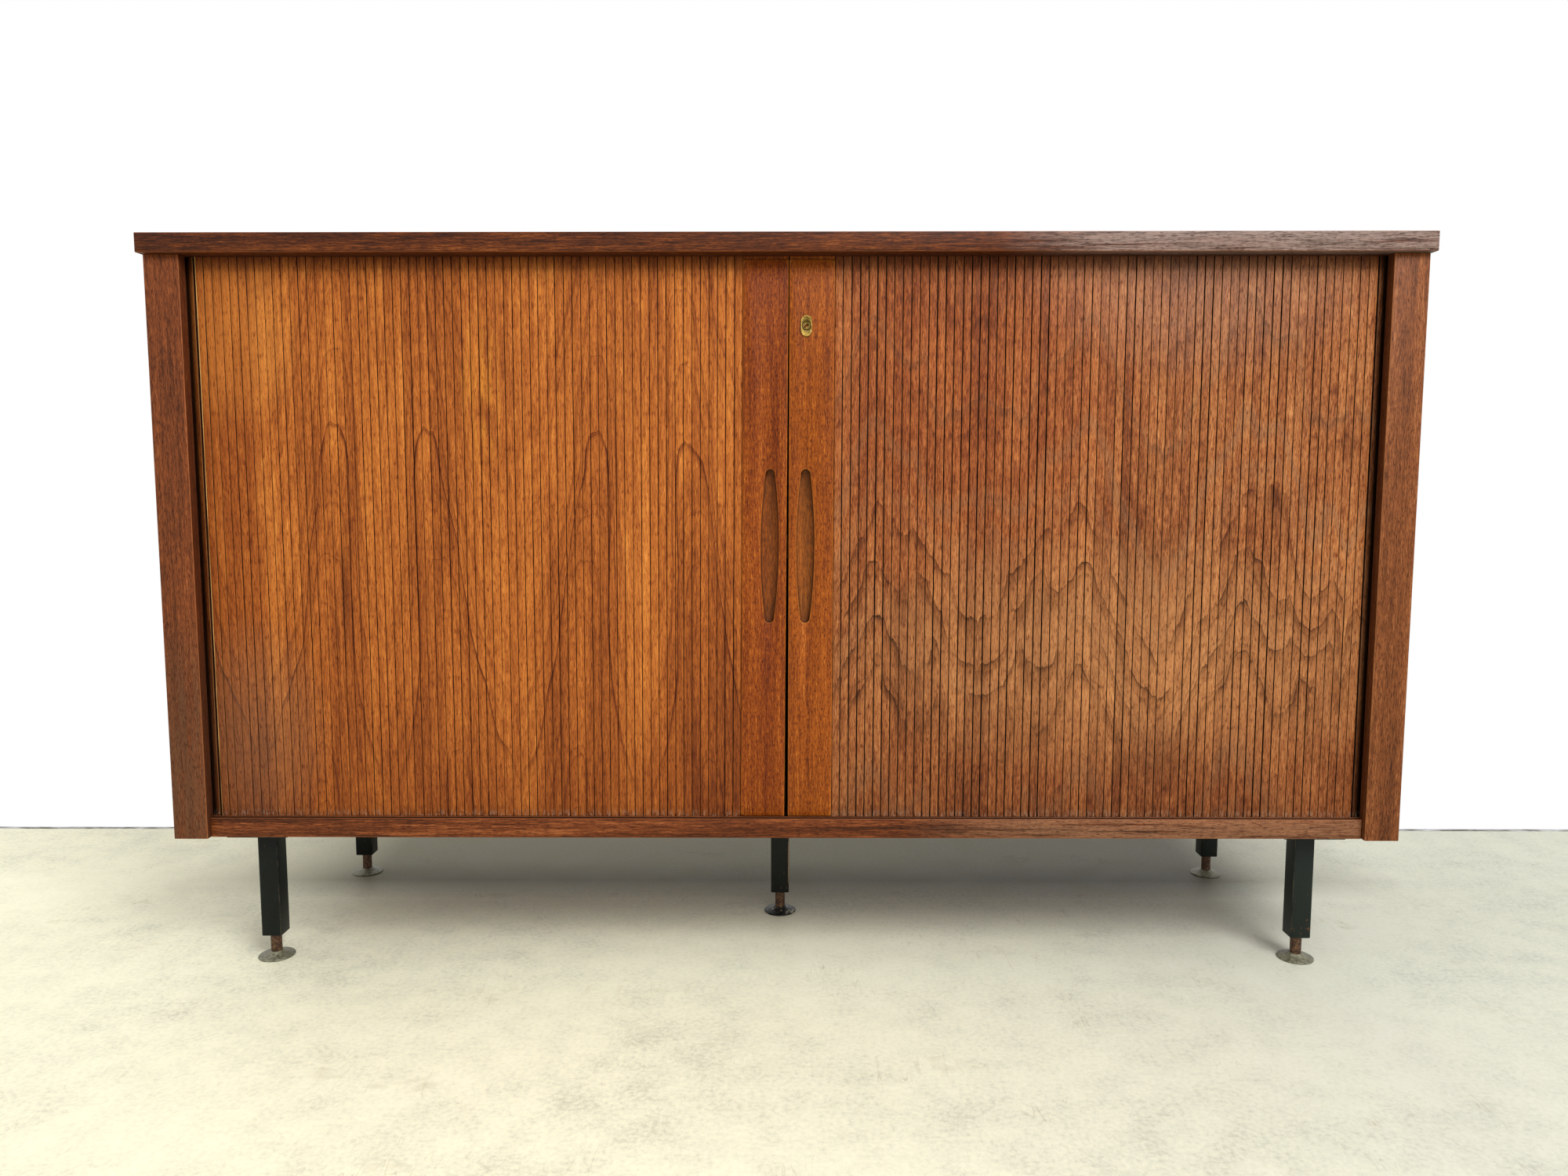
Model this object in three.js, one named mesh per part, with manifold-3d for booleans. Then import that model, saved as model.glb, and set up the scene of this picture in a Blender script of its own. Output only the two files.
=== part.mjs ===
// Tambour door cabinet on five square tube legs.
// Millimetres, +Z up. The origin is the middle of the footprint, on the floor, and the doors face -Y.

import * as THREE from "three";
import { mergeVertices } from "three/addons/utils/BufferGeometryUtils.js";
import Module from "manifold-3d";

const wasm = await Module();
wasm.setup();

// Overall size, taken at the top panel
const cabinetWidth = 1600;
const cabinetDepth = 450;
const cabinetHeight = 952;
const undersideHeight = 183;

// Boards
const topThickness = 24;
const bottomThickness = 26;
const sideThickness = 16;
const backThickness = 8;
const falseSideThickness = 12;
const falseBackThickness = 8;
const dividerThickness = 18;
const dividerOffset = -8;
const shelfThickness = 19;
const topSideOverhang = 4;
const topFrontOverhang = 10;
const bottomSetback = 8;
const postWidth = 44;
const postDepth = 16;

// Shelves and the battens that carry them
const shelfSetback = 8;
const shelfHeightShare = 0.5;
const battenWidth = 12;
const battenHeight = 15;
const battenSetback = 20;

// Routed track that the curtains run in, and the curtains
const trackRadius = 28;
const trackSideInset = 9;
const trackBackInset = 10;
const grooveDepth = 8;
const grooveClearance = 0.8;
const slatThickness = 7;
const slatPitch = 10.8;
const slatSlit = 0.8;
const slatChamfer = 0.6;
const slatTopClearance = 1.5;
const canvasThickness = 0.8;
const curtainClearance = 5.5;
const postClearance = 4;
const groupCount = 7;
const cornerSlatCount = 7;

// Stiles, which are the leading edges of the doors
const meetingLine = 5.7;
const meetingGap = 1;
const stileWidth = 56.9;
const stileThickness = 22;
const stileProud = 3;
const stileTopGap = 4.5;
const stileBottomGap = 1;
const leftLean = 5.9;
const rightLean = -2.2;

// Finger pulls cut into the stiles
const fittingInset = 21.4;
const pullHeightShare = 0.494;
const pullLength = 197;
const pullWidth = 23;
const pullEndWidth = 11.6;
const pullDepth = 11;

// Lock in the right stile, and its strike on the left stile
const lockDrop = 86;
const escutcheonWidth = 14.3;
const escutcheonHeight = 27;
const escutcheonThickness = 1.6;
const plugRadius = 4.9;
const plugProud = 0.6;
const barrelWall = 0.8;
const keySlotWidth = 1.6;
const keySlotLength = 6.4;
const keySlotDepth = 4;
const keySlotAngle = 0.9;
const caseWidth = 26;
const caseHeight = 36;
const caseDepth = 7.5;
const camThickness = 3;
const camWidth = 7;
const camToothWidth = 4;
const camToothHeight = 4.5;
const strikeOverlap = 6;
const strikeTabThickness = 2.5;
const strikeTabHeight = 10;
const strikePlateThickness = 2;
const strikePlateWidth = 28;
const strikePlateHeight = 26;
const strikeReach = 2.5;
const innerFrontClearance = 6.5;

// Legs, their plates and the levelling feet
const legSide = 27;
const legWall = 2;
const legCorner = 2.5;
const legEndWall = 6;
const legBottomHeight = 33;
const legSetback = 45;
const legSideSetback = 85.5;
const plateSide = 80;
const plateThickness = 4;
const plateHoleRadius = 2.6;
const plateHoleInset = 9;
const footRadius = 23.7;
const footRim = 2;
const footHubRadius = 9.5;
const footHubHeight = 6;
const stemRadius = 7.4;
const stemFillet = 1.6;
const stemEngagement = 24;

// Fit and cutting
const fitGap = 0.3;
const overrun = 5;

// Steps round a full circle, and round one quarter of the track
const circleSteps = 24;
const cornerSteps = 8;
const legCornerSteps = 3;
const pullSideSteps = 8;
const pullEndSteps = 8;
const quarterTurn = Math.PI / 2;

// Planes that several pieces share
const topUnderside = cabinetHeight - topThickness;
const bottomTop = undersideHeight + bottomThickness;
const frontY = -cabinetDepth / 2;
const backY = cabinetDepth / 2;
const postFront = frontY + topFrontOverhang;
const postBack = postFront + postDepth;
const backPanelFront = backY - backThickness;
const sideOuter = cabinetWidth / 2 - topSideOverhang;
const sideInner = sideOuter - sideThickness;
const postInner = sideOuter - postWidth;
const slatFront = postBack + postClearance;
const slatBack = slatFront + slatThickness;
const trackY = slatFront + slatThickness / 2;
const trackBackY = backPanelFront - trackBackInset;
const trackX = sideInner - trackSideInset;
const arcX = trackX - trackRadius;
const arcY = trackY + trackRadius;
const curtainBackRadius = trackRadius - slatThickness / 2;
const falseSideOuter = trackX - slatThickness / 2 - curtainClearance;
const falseSideInner = falseSideOuter - falseSideThickness;
const falseBackRear = trackBackY - slatThickness / 2 - curtainClearance;
const falseBackFront = falseBackRear - falseBackThickness;
const slatTop = topUnderside + grooveDepth - slatTopClearance;
const slatBottom = bottomTop - grooveDepth + fitGap;
const stileFront = slatFront - stileProud;
const stileBack = stileFront + stileThickness;
const stileTop = topUnderside - stileTopGap;
const stileBottom = bottomTop + stileBottomGap;
const pullHeight = bottomTop + pullHeightShare * (topUnderside - bottomTop);
const lockHeight = topUnderside - lockDrop;
const barrelInner = plugRadius + fitGap;
const barrelOuter = barrelInner + barrelWall;
const lockBore = barrelOuter + fitGap;
const caseFront = stileBack + fitGap;
const caseBack = caseFront + caseDepth;
const camFront = caseBack + fitGap;
const camBack = camFront + camThickness;
const innerFront = camBack + innerFrontClearance;
const shelfBottom = bottomTop + shelfHeightShare * (topUnderside - bottomTop) - shelfThickness / 2;
const legTop = undersideHeight - plateThickness - 2 * fitGap;
const legX = sideOuter - legSideSetback - legSide / 2;
const legFrontY = postFront + legSetback + legSide / 2;
const legBackY = backY - legSetback - legSide / 2;

// A door: which side it is on, where its stile's outer edge is, and how far its foot leans outwards
const leftDoor = {
  side: -1,
  name: "left",
  edge: stileWidth - meetingLine + meetingGap / 2,
  lean: leftLean,
};
const rightDoor = {
  side: 1,
  name: "right",
  edge: stileWidth + meetingLine + meetingGap / 2,
  lean: rightLean,
};

// Finishes, one function per surface
function finish(colour, roughness, metalness) {
  return () => new THREE.MeshStandardMaterial({ color: colour, roughness, metalness });
}

const edgeWood = finish(0x6b3a26, 0.45, 0);
const panelWood = finish(0x7a4630, 0.5, 0);
const innerWood = finish(0xb98a5c, 0.6, 0);
const boardBrown = finish(0x8a6a4a, 0.8, 0);
const slatVeneer = finish(0xa4602c, 0.45, 0);
const stileWood = finish(0x9a4f22, 0.42, 0);
const legPaint = finish(0x1e2422, 0.45, 0.3);
const rawSteel = finish(0x6f6a62, 0.5, 0.9);
const footMetal = finish(0x9a9a84, 0.55, 0.6);
const brass = finish(0xc8a85a, 0.35, 1);

// Solids and cuts

// A closed mesh as a solid that can be cut: its shared corners merged and its flat triangles dropped.
function solidOf(geometry) {
  const bare = geometry.index ? geometry.clone() : mergeVertices(geometry);
  bare.deleteAttribute("normal");
  bare.deleteAttribute("uv");
  const merged = mergeVertices(bare);
  const corners = merged.index.array;
  const kept = [];
  for (let i = 0; i < corners.length; i += 3) {
    const [a, b, c] = corners.slice(i, i + 3);
    if (a !== b && b !== c && c !== a) kept.push(a, b, c);
  }
  const vertProperties = new Float32Array(merged.attributes.position.array);
  const triVerts = new Uint32Array(kept);
  return new wasm.Manifold(new wasm.Mesh({ numProp: 3, vertProperties, triVerts }));
}

function geometryOf(solid) {
  const mesh = solid.getMesh();
  const geometry = new THREE.BufferGeometry();
  geometry.setAttribute("position", new THREE.BufferAttribute(mesh.vertProperties, 3));
  geometry.setIndex(new THREE.BufferAttribute(mesh.triVerts, 1));
  geometry.computeVertexNormals();
  return geometry;
}

function cut(base, ...tools) {
  const left = tools.reduce((solid, tool) => solid.subtract(solidOf(tool)), solidOf(base));
  return geometryOf(left);
}

function join(base, ...others) {
  const whole = others.reduce((solid, other) => solid.add(solidOf(other)), solidOf(base));
  return geometryOf(whole);
}

function outline(points) {
  return new THREE.Shape(points.map(([x, y]) => new THREE.Vector2(x, y)));
}

// An outline in X and Y, carried up from one height to another.
function upright(shape, low, high) {
  const geometry = new THREE.ExtrudeGeometry(shape, { depth: high - low, bevelEnabled: false });
  return geometry.translate(0, 0, low);
}

// An outline in X and Z, carried back from one depth to another.
function carriedBack(shape, front, back) {
  const geometry = new THREE.ExtrudeGeometry(shape, { depth: back - front, bevelEnabled: false });
  return geometry.rotateX(quarterTurn).translate(0, back, 0);
}

function block(low, high) {
  const size = high.map((value, i) => value - low[i]);
  const middle = high.map((value, i) => (value + low[i]) / 2);
  return new THREE.BoxGeometry(...size).translate(...middle);
}

// A round bar along Y, from one end to the other.
function roundBack(radius, x, z, front, back) {
  const geometry = new THREE.CylinderGeometry(radius, radius, back - front, circleSteps);
  return geometry.translate(x, (front + back) / 2, z);
}

// A round bar along Z, from one end to the other.
function roundUp(radius, x, y, low, high) {
  const geometry = new THREE.CylinderGeometry(radius, radius, high - low, circleSteps);
  return geometry.rotateX(quarterTurn).translate(x, y, (low + high) / 2);
}

// Points round an arc, from one angle to another.
function arc(x, y, radius, from, to, steps) {
  return Array.from({ length: steps + 1 }, (_, i) => {
    const angle = from + ((to - from) * i) / steps;
    return [x + radius * Math.cos(angle), y + radius * Math.sin(angle)];
  });
}

// A rectangle with round corners, given by the centres of its corner arcs.
function roundedFrame(halfX, lowY, highY, radius, steps) {
  return [
    ...arc(halfX, highY, radius, 0, quarterTurn, steps),
    ...arc(-halfX, highY, radius, quarterTurn, 2 * quarterTurn, steps),
    ...arc(-halfX, lowY, radius, 2 * quarterTurn, 3 * quarterTurn, steps),
    ...arc(halfX, lowY, radius, 3 * quarterTurn, 4 * quarterTurn, steps),
  ];
}

// A mesh in its group. Its name is the sub-part's name.
function place(group, name, geometry, surface, at = [0, 0, 0]) {
  const mesh = new THREE.Mesh(geometry, surface());
  mesh.name = name;
  mesh.position.set(...at);
  group.add(mesh);
}

// A flat board between two corners, placed by its middle.
function board(group, name, low, high, surface) {
  const size = high.map((value, i) => value - low[i]);
  const middle = high.map((value, i) => (value + low[i]) / 2);
  place(group, name, new THREE.BoxGeometry(...size), surface, middle);
}

// Carcass

// The routed groove: one closed run along the front, round the corners and behind the false back.
function trackGroove(low, high) {
  const half = slatThickness / 2 + grooveClearance;
  const rearY = trackBackY - trackRadius;
  const groove = outline(roundedFrame(arcX, arcY, rearY, trackRadius + half, cornerSteps));
  groove.holes.push(outline(roundedFrame(arcX, arcY, rearY, trackRadius - half, cornerSteps)));
  return upright(groove, low, high);
}

function topPanel() {
  const half = cabinetWidth / 2;
  const slab = block([-half, frontY, topUnderside], [half, backY, cabinetHeight]);
  return cut(slab, trackGroove(topUnderside - overrun, topUnderside + grooveDepth));
}

// The bottom panel fills the width between the side panels, and is notched round the posts in front.
function bottomPanel() {
  const wide = sideInner - fitGap;
  const narrow = postInner - fitGap;
  const front = postFront + bottomSetback;
  const shoulder = postBack + fitGap;
  const rear = backPanelFront - fitGap;
  const plan = [
    [-narrow, front],
    [narrow, front],
    [narrow, shoulder],
    [wide, shoulder],
    [wide, rear],
    [-wide, rear],
    [-wide, shoulder],
    [-narrow, shoulder],
  ];
  const slab = upright(outline(plan), undersideHeight, bottomTop);
  return cut(slab, trackGroove(bottomTop - grooveDepth, bottomTop + overrun));
}

// A side panel with the post that closes its front edge.
function sideWall(group, side, name) {
  const high = topUnderside - fitGap;
  const spans = {
    post: [postInner, sideOuter, postFront, postBack],
    side_panel: [sideInner, sideOuter, postBack + fitGap, backY],
  };
  for (const [piece, [inner, outer, front, back]] of Object.entries(spans)) {
    const across = [side * inner, side * outer].sort((a, b) => a - b);
    const low = [across[0], front, undersideHeight];
    const surface = piece === "post" ? edgeWood : panelWood;
    board(group, `${name}_${piece}`, low, [across[1], back, high], surface);
  }
}

function falseSide(group, side, name) {
  const across = [side * falseSideInner, side * falseSideOuter].sort((a, b) => a - b);
  const low = [across[0], arcY, bottomTop + fitGap];
  const high = [across[1], falseBackFront - fitGap, topUnderside - fitGap];
  board(group, `${name}_false_side`, low, high, innerWood);
}

function backBoards(group) {
  const low = bottomTop + fitGap;
  const high = topUnderside - fitGap;
  const wide = sideInner - fitGap;
  const half = falseSideInner + falseSideThickness / 2;
  board(group, "back_panel", [-wide, backPanelFront, undersideHeight], [wide, backY, high], boardBrown);
  board(group, "false_back", [-half, falseBackFront, low], [half, falseBackRear, high], innerWood);
}

function divider(group) {
  const half = dividerThickness / 2;
  const low = [dividerOffset - half, innerFront, bottomTop + fitGap];
  const high = [dividerOffset + half, falseBackFront - fitGap, topUnderside - fitGap];
  board(group, "centre_divider", low, high, innerWood);
}

// A shelf and its two battens, between a false side and the divider.
function shelf(group, side, name) {
  const inner = dividerOffset + (side * dividerThickness) / 2;
  const outer = side * falseSideInner;
  const front = innerFront + shelfSetback;
  const back = falseBackFront - fitGap;
  const across = [inner + side * fitGap, outer - side * fitGap].sort((a, b) => a - b);
  const high = shelfBottom + shelfThickness;
  board(group, `${name}_shelf`, [across[0], front, shelfBottom], [across[1], back, high], innerWood);
  const ends = {
    inner: [inner + side * fitGap, inner + side * (fitGap + battenWidth)],
    outer: [outer - side * (fitGap + battenWidth), outer - side * fitGap],
  };
  for (const [end, span] of Object.entries(ends)) {
    const [from, to] = span.sort((a, b) => a - b);
    const low = [from, front + battenSetback, shelfBottom - fitGap - battenHeight];
    const top = [to, back - battenSetback, shelfBottom - fitGap];
    board(group, `${name}_shelf_batten_${end}`, low, top, innerWood);
  }
}

function carcass() {
  const group = new THREE.Group();
  place(group, "top_panel", topPanel(), edgeWood);
  place(group, "bottom_panel", bottomPanel(), edgeWood);
  backBoards(group);
  divider(group);
  for (const { side, name } of [leftDoor, rightDoor]) {
    sideWall(group, side, name);
    falseSide(group, side, name);
    shelf(group, side, name);
  }
  return group;
}

// Curtains: slats glued to canvas

// The curtain's back face at a distance outwards from the stile: flat, then round the corner, then back.
function curtainAt(door, distance) {
  const flat = arcX - door.edge;
  const turned = (distance - flat) / curtainBackRadius;
  if (turned <= 0) return { x: door.edge + distance, y: slatBack, angle: 0 };
  if (turned >= quarterTurn) {
    const along = (turned - quarterTurn) * curtainBackRadius;
    return { x: arcX + curtainBackRadius, y: arcY + along, angle: quarterTurn };
  }
  const x = arcX + curtainBackRadius * Math.sin(turned);
  const y = arcY - curtainBackRadius * Math.cos(turned);
  return { x, y, angle: turned };
}

function flatSlatCount(door) {
  return Math.round((arcX - door.edge) / slatPitch);
}

// The plan of neighbouring slats on their canvas. The slits between them end on the canvas.
function slatPlan(door, first, count) {
  const pitch = (arcX - door.edge) / flatSlatCount(door);
  const half = (pitch - slatSlit) / 2;
  const face = half - slatChamfer;
  const shoulder = slatThickness - slatChamfer;
  const fronts = [];
  const backs = [];
  for (let i = first; i < first + count; i += 1) {
    const middle = curtainAt(door, (i + 1 / 2) * pitch);
    const at = (across, out) => [
      door.side * (middle.x + across * Math.cos(middle.angle) + out * Math.sin(middle.angle)),
      middle.y + across * Math.sin(middle.angle) - out * Math.cos(middle.angle),
    ];
    fronts.push(at(-half, canvasThickness), at(-half, shoulder), at(-face, slatThickness));
    fronts.push(at(face, slatThickness), at(half, shoulder), at(half, canvasThickness));
    backs.push(at(-half, 0), at(half, 0));
  }
  const flat = first + count <= flatSlatCount(door);
  const canvas = flat ? [backs[0], backs[backs.length - 1]] : backs;
  return outline([...fronts, ...canvas.reverse()]);
}

// How far a door's point stands outwards of plumb: nothing at the top or at the corner.
function leanAt(door, outwards, height) {
  const across = Math.min(1, (arcX - outwards) / (arcX - door.edge));
  return (door.lean * across * (slatTop - height)) / (slatTop - slatBottom);
}

function leaned(geometry, door) {
  const points = geometry.attributes.position;
  for (let i = 0; i < points.count; i += 1) {
    const outwards = door.side * points.getX(i);
    points.setX(i, door.side * (outwards + leanAt(door, outwards, points.getZ(i))));
  }
  geometry.computeVertexNormals();
  return geometry;
}

function curtain(group, door) {
  const count = flatSlatCount(door);
  for (let i = 0; i < groupCount; i += 1) {
    const first = Math.round((i * count) / groupCount);
    const next = Math.round(((i + 1) * count) / groupCount);
    const slats = upright(slatPlan(door, first, next - first), slatBottom, slatTop);
    place(group, `${door.name}_slats_${i + 1}`, leaned(slats, door), slatVeneer);
  }
  const corner = upright(slatPlan(door, count, cornerSlatCount), slatBottom, slatTop);
  place(group, `${door.name}_corner_slats`, corner, slatVeneer);
}

// Stiles with finger pulls

// A finger pull's outline: two long shallow arcs with round ends.
function pullOutline(x, z) {
  const endRadius = pullEndWidth / 2;
  const halfWidth = pullWidth / 2;
  const reach = pullLength / 2 - endRadius;
  const bulge = halfWidth - endRadius;
  const sideRadius = (reach * reach + bulge * bulge) / (2 * bulge);
  const spread = Math.asin(reach / sideRadius);
  const offset = halfWidth - sideRadius;
  return [
    ...arc(x + offset, z, sideRadius, -spread, spread, pullSideSteps),
    ...arc(x, z + reach, endRadius, 0, 2 * quarterTurn, pullEndSteps).slice(1, -1),
    ...arc(x - offset, z, sideRadius, 2 * quarterTurn - spread, 2 * quarterTurn + spread, pullSideSteps),
    ...arc(x, z - reach, endRadius, 2 * quarterTurn, 4 * quarterTurn, pullEndSteps).slice(1, -1),
  ];
}

function fittingX(door) {
  return door.side * (door.edge - stileWidth + fittingInset);
}

// A stile has a thick body, and a tongue as thick as the slats that runs in both grooves.
function stile(door) {
  const across = [door.edge - stileWidth, door.edge].map((x) => door.side * x).sort((a, b) => a - b);
  const body = block([across[0], stileFront, stileBottom], [across[1], stileBack, stileTop]);
  const tongue = block([across[0], slatFront, slatBottom], [across[1], slatBack, slatTop]);
  const pull = outline(pullOutline(fittingX(door), pullHeight));
  const cuts = [carriedBack(pull, stileFront - overrun, stileFront + pullDepth)];
  if (door === rightDoor) {
    cuts.push(roundBack(lockBore, fittingX(door), lockHeight, stileFront - overrun, stileBack + overrun));
  }
  return leaned(cut(join(body, tongue), ...cuts), door);
}

// Lock, built round its own axis: X across, Z up, and Y as in the cabinet

function escutcheon() {
  const half = escutcheonWidth / 2;
  const straight = (escutcheonHeight - escutcheonWidth) / 2;
  const oval = [
    ...arc(0, straight, half, 0, 2 * quarterTurn, circleSteps / 2),
    ...arc(0, -straight, half, 2 * quarterTurn, 4 * quarterTurn, circleSteps / 2),
  ];
  const back = stileFront - fitGap;
  const plate = carriedBack(outline(oval), back - escutcheonThickness, back);
  return cut(plate, roundBack(lockBore, 0, 0, back - escutcheonThickness - overrun, back + overrun));
}

function lockCase() {
  const front = stileFront - fitGap - escutcheonThickness;
  const half = caseWidth / 2;
  const body = block([-half, caseFront, -caseHeight / 2], [half, caseBack, caseHeight / 2]);
  const barrel = roundBack(barrelOuter, 0, 0, front, caseBack);
  return cut(join(barrel, body), roundBack(barrelInner, 0, 0, front - overrun, caseBack + overrun));
}

function lockPlug() {
  const front = stileFront - fitGap - escutcheonThickness - plugProud;
  const plug = roundBack(plugRadius, 0, 0, front, camFront - fitGap);
  const low = [-keySlotWidth / 2, front - overrun, -keySlotLength / 2];
  const slot = block(low, [keySlotWidth / 2, front + keySlotDepth, keySlotLength / 2]);
  return cut(plug, slot.rotateY(keySlotAngle));
}

// The distance from the plug's axis to the strike's tab, whose far side the cam's tooth hooks behind.
const hookDistance = fittingInset + meetingGap + strikeOverlap;

// The cam hangs down at rest, with its tooth to the left, and swings up to the left to lock.
function lockCam() {
  const half = camWidth / 2;
  const inner = hookDistance + fitGap * 2;
  const outer = inner + camToothWidth;
  const lever = [
    ...arc(0, 0, half, 0, 2 * quarterTurn, circleSteps / 2),
    [-half, -inner],
    [-half - camToothHeight, -inner],
    [-half - camToothHeight, -outer],
    [half, -outer],
  ];
  return carriedBack(outline(lever), camFront, camBack);
}

// The strike: a plate on the back of the left stile, with a tab that stands back into the cam's path.
function strikePlate() {
  const right = -hookDistance + strikeTabThickness;
  const front = stileBack + fitGap;
  const low = camWidth / 2 + fitGap * 2;
  const plateLow = low - strikePlateHeight + strikeTabHeight;
  const plateHigh = low + strikeTabHeight;
  const left = right - strikePlateWidth;
  const plate = block([left, front, plateLow], [right, front + strikePlateThickness, plateHigh]);
  const tab = block([-hookDistance, front, low], [right, camBack + strikeReach, plateHigh]);
  return join(plate, tab);
}

function lock(group) {
  const x = fittingX(rightDoor) + leanAt(rightDoor, fittingX(rightDoor), lockHeight);
  const at = [x, 0, lockHeight];
  place(group, "lock_escutcheon", escutcheon(), brass, at);
  place(group, "lock_case", lockCase(), rawSteel, at);
  place(group, "lock_plug", lockPlug(), brass, at);
  place(group, "lock_cam", lockCam(), rawSteel, at);
  place(group, "strike_plate", strikePlate(), rawSteel, at);
}

// Legs

function roundedSquare(side, radius, steps) {
  const half = side / 2 - radius;
  return roundedFrame(half, -half, half, radius, steps);
}

// A square tube, open at the top, with an end wall that the foot's stem is screwed through.
function leg() {
  const height = legTop - legBottomHeight;
  const tube = upright(outline(roundedSquare(legSide, legCorner, legCornerSteps)), 0, height);
  const inside = legSide / 2 - legWall;
  const hollow = block([-inside, -inside, legEndWall], [inside, inside, height + overrun]);
  return cut(tube, hollow, roundUp(stemRadius + fitGap, 0, 0, -overrun, legEndWall + overrun));
}

// The steel plate that screws a leg to the bottom panel.
function legPlate() {
  const half = plateSide / 2;
  const holeAt = half - plateHoleInset;
  const plate = block([-half, -half, 0], [half, half, plateThickness]);
  const corners = [-holeAt, holeAt].flatMap((x) => [-holeAt, holeAt].map((y) => [x, y]));
  const holes = corners.map(([x, y]) => roundUp(plateHoleRadius, x, y, -overrun, plateThickness + overrun));
  return cut(plate, ...holes);
}

// A levelling foot: a shallow domed disc with its stem, turned about the upright axis.
function levellingFoot() {
  const top = legBottomHeight + legEndWall + stemEngagement;
  const profile = [
    [0, 0],
    [footRadius, 0],
    [footRadius, footRim],
    [footHubRadius, footHubHeight],
    [stemRadius, footHubHeight + stemFillet],
    [stemRadius, top],
    [0, top],
  ];
  const points = profile.map(([x, y]) => new THREE.Vector2(x, y));
  return geometryOf(solidOf(new THREE.LatheGeometry(points, circleSteps).rotateX(quarterTurn)));
}

function legs() {
  const group = new THREE.Group();
  const places = {
    front_left: [-legX, legFrontY],
    front_right: [legX, legFrontY],
    rear_left: [-legX, legBackY],
    rear_right: [legX, legBackY],
    centre: [dividerOffset, (legFrontY + legBackY) / 2],
  };
  for (const [name, [x, y]] of Object.entries(places)) {
    const stand = new THREE.Group();
    stand.position.set(x, y, 0);
    place(stand, `foot_${name}`, levellingFoot(), footMetal);
    place(stand, `leg_${name}`, leg(), legPaint, [0, 0, legBottomHeight]);
    place(stand, `leg_plate_${name}`, legPlate(), rawSteel, [0, 0, legTop + fitGap]);
    group.add(stand);
  }
  return group;
}

function doors() {
  const group = new THREE.Group();
  for (const door of [leftDoor, rightDoor]) {
    place(group, `${door.name}_stile`, stile(door), stileWood);
    curtain(group, door);
  }
  lock(group);
  return group;
}

const cabinet = new THREE.Group();
cabinet.add(carcass(), legs(), doors());

export default cabinet;
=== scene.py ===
"""Looks of a low wooden cabinet with two tambour doors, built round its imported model.

Everything is in metres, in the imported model's own frame: the doors face -Y and +Z is up.
"""

import math

import bmesh
import bpy
import numpy as np
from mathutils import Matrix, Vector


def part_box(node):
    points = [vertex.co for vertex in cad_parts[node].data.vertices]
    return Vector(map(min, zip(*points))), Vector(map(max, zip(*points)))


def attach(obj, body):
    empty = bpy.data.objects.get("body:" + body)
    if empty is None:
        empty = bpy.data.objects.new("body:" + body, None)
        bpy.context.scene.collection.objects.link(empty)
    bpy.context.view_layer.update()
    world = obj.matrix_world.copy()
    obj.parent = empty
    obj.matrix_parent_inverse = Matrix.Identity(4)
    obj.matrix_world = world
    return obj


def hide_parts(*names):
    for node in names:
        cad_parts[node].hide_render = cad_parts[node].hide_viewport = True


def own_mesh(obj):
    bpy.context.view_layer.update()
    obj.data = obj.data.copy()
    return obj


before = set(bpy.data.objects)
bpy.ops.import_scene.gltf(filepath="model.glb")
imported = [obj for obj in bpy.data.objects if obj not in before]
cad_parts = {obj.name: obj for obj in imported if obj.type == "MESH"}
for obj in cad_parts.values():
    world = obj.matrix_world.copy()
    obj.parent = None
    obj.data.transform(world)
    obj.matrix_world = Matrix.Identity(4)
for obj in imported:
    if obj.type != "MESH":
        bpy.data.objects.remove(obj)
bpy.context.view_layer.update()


def placed(name, data):
    """A new object, linked into the scene."""
    made = bpy.data.objects.new(name, data)
    bpy.context.scene.collection.objects.link(made)
    return made


# Camera: where the photograph was taken from, fitted to the cabinet's corners

CAMERA_PLACE = (0.0071, -1.5965, 0.6451)
CAMERA_TILT = (84.514, 0, 0.324)
CAMERA_LENS = 25.06
CAMERA_SENSOR = 36


def make_camera():
    """A level camera a little right of the middle, looking slightly down."""
    data = bpy.data.cameras.new("camera")
    data.sensor_fit = "HORIZONTAL"
    data.sensor_width = CAMERA_SENSOR
    data.lens = CAMERA_LENS
    data.clip_start = 0.02
    data.clip_end = 60
    camera = placed("camera", data)
    camera.location = CAMERA_PLACE
    camera.rotation_euler = [math.radians(angle) for angle in CAMERA_TILT]
    bpy.context.scene.camera = camera


make_camera()

# Sizes that the pieces share

SLAT_LOW = 0.2013
SLAT_HIGH = 0.9345
SLAT_THICK = 0.007
CANVAS_THICK = 0.0008
SLAT_ARRIS = 0.0004
SLAT_CROWN = 0.00012
SLAT_SHIFT = 0.0001
SLIT_WANDER = 0.00008
SLIT_RANGE = (0.5, 1.6)
WANDER_RANGE = (6, 14)
TONE_SPREAD = (0.5, 0.22)
SLAT_PITCH = 0.0108
SLAT_ROWS = 8
CORNER_SLATS = 7
CORNER_STEPS = 12
CANVAS_ROWS = 3
GROUPS = 7
ARC_X = 0.743
ARC_Y = -0.1635
CURTAIN_RADIUS = 0.0245
QUARTER = math.pi / 2
QUARTER_STEPS = 4
SLAB_STEPS = 3
CIRCLE_STEPS = 8
WORN_SHARE = 0.2
SAME_PLACE = 1e-6
DOUBLE_REACH = 1e-7
SHARP_ANGLE = math.radians(50)
BOARD_ARRIS = 0.0012
EDGE_ARRIS = 0.001
PANEL_ARRIS = 0.0008
STEEL_ARRIS = 0.0006

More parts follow.
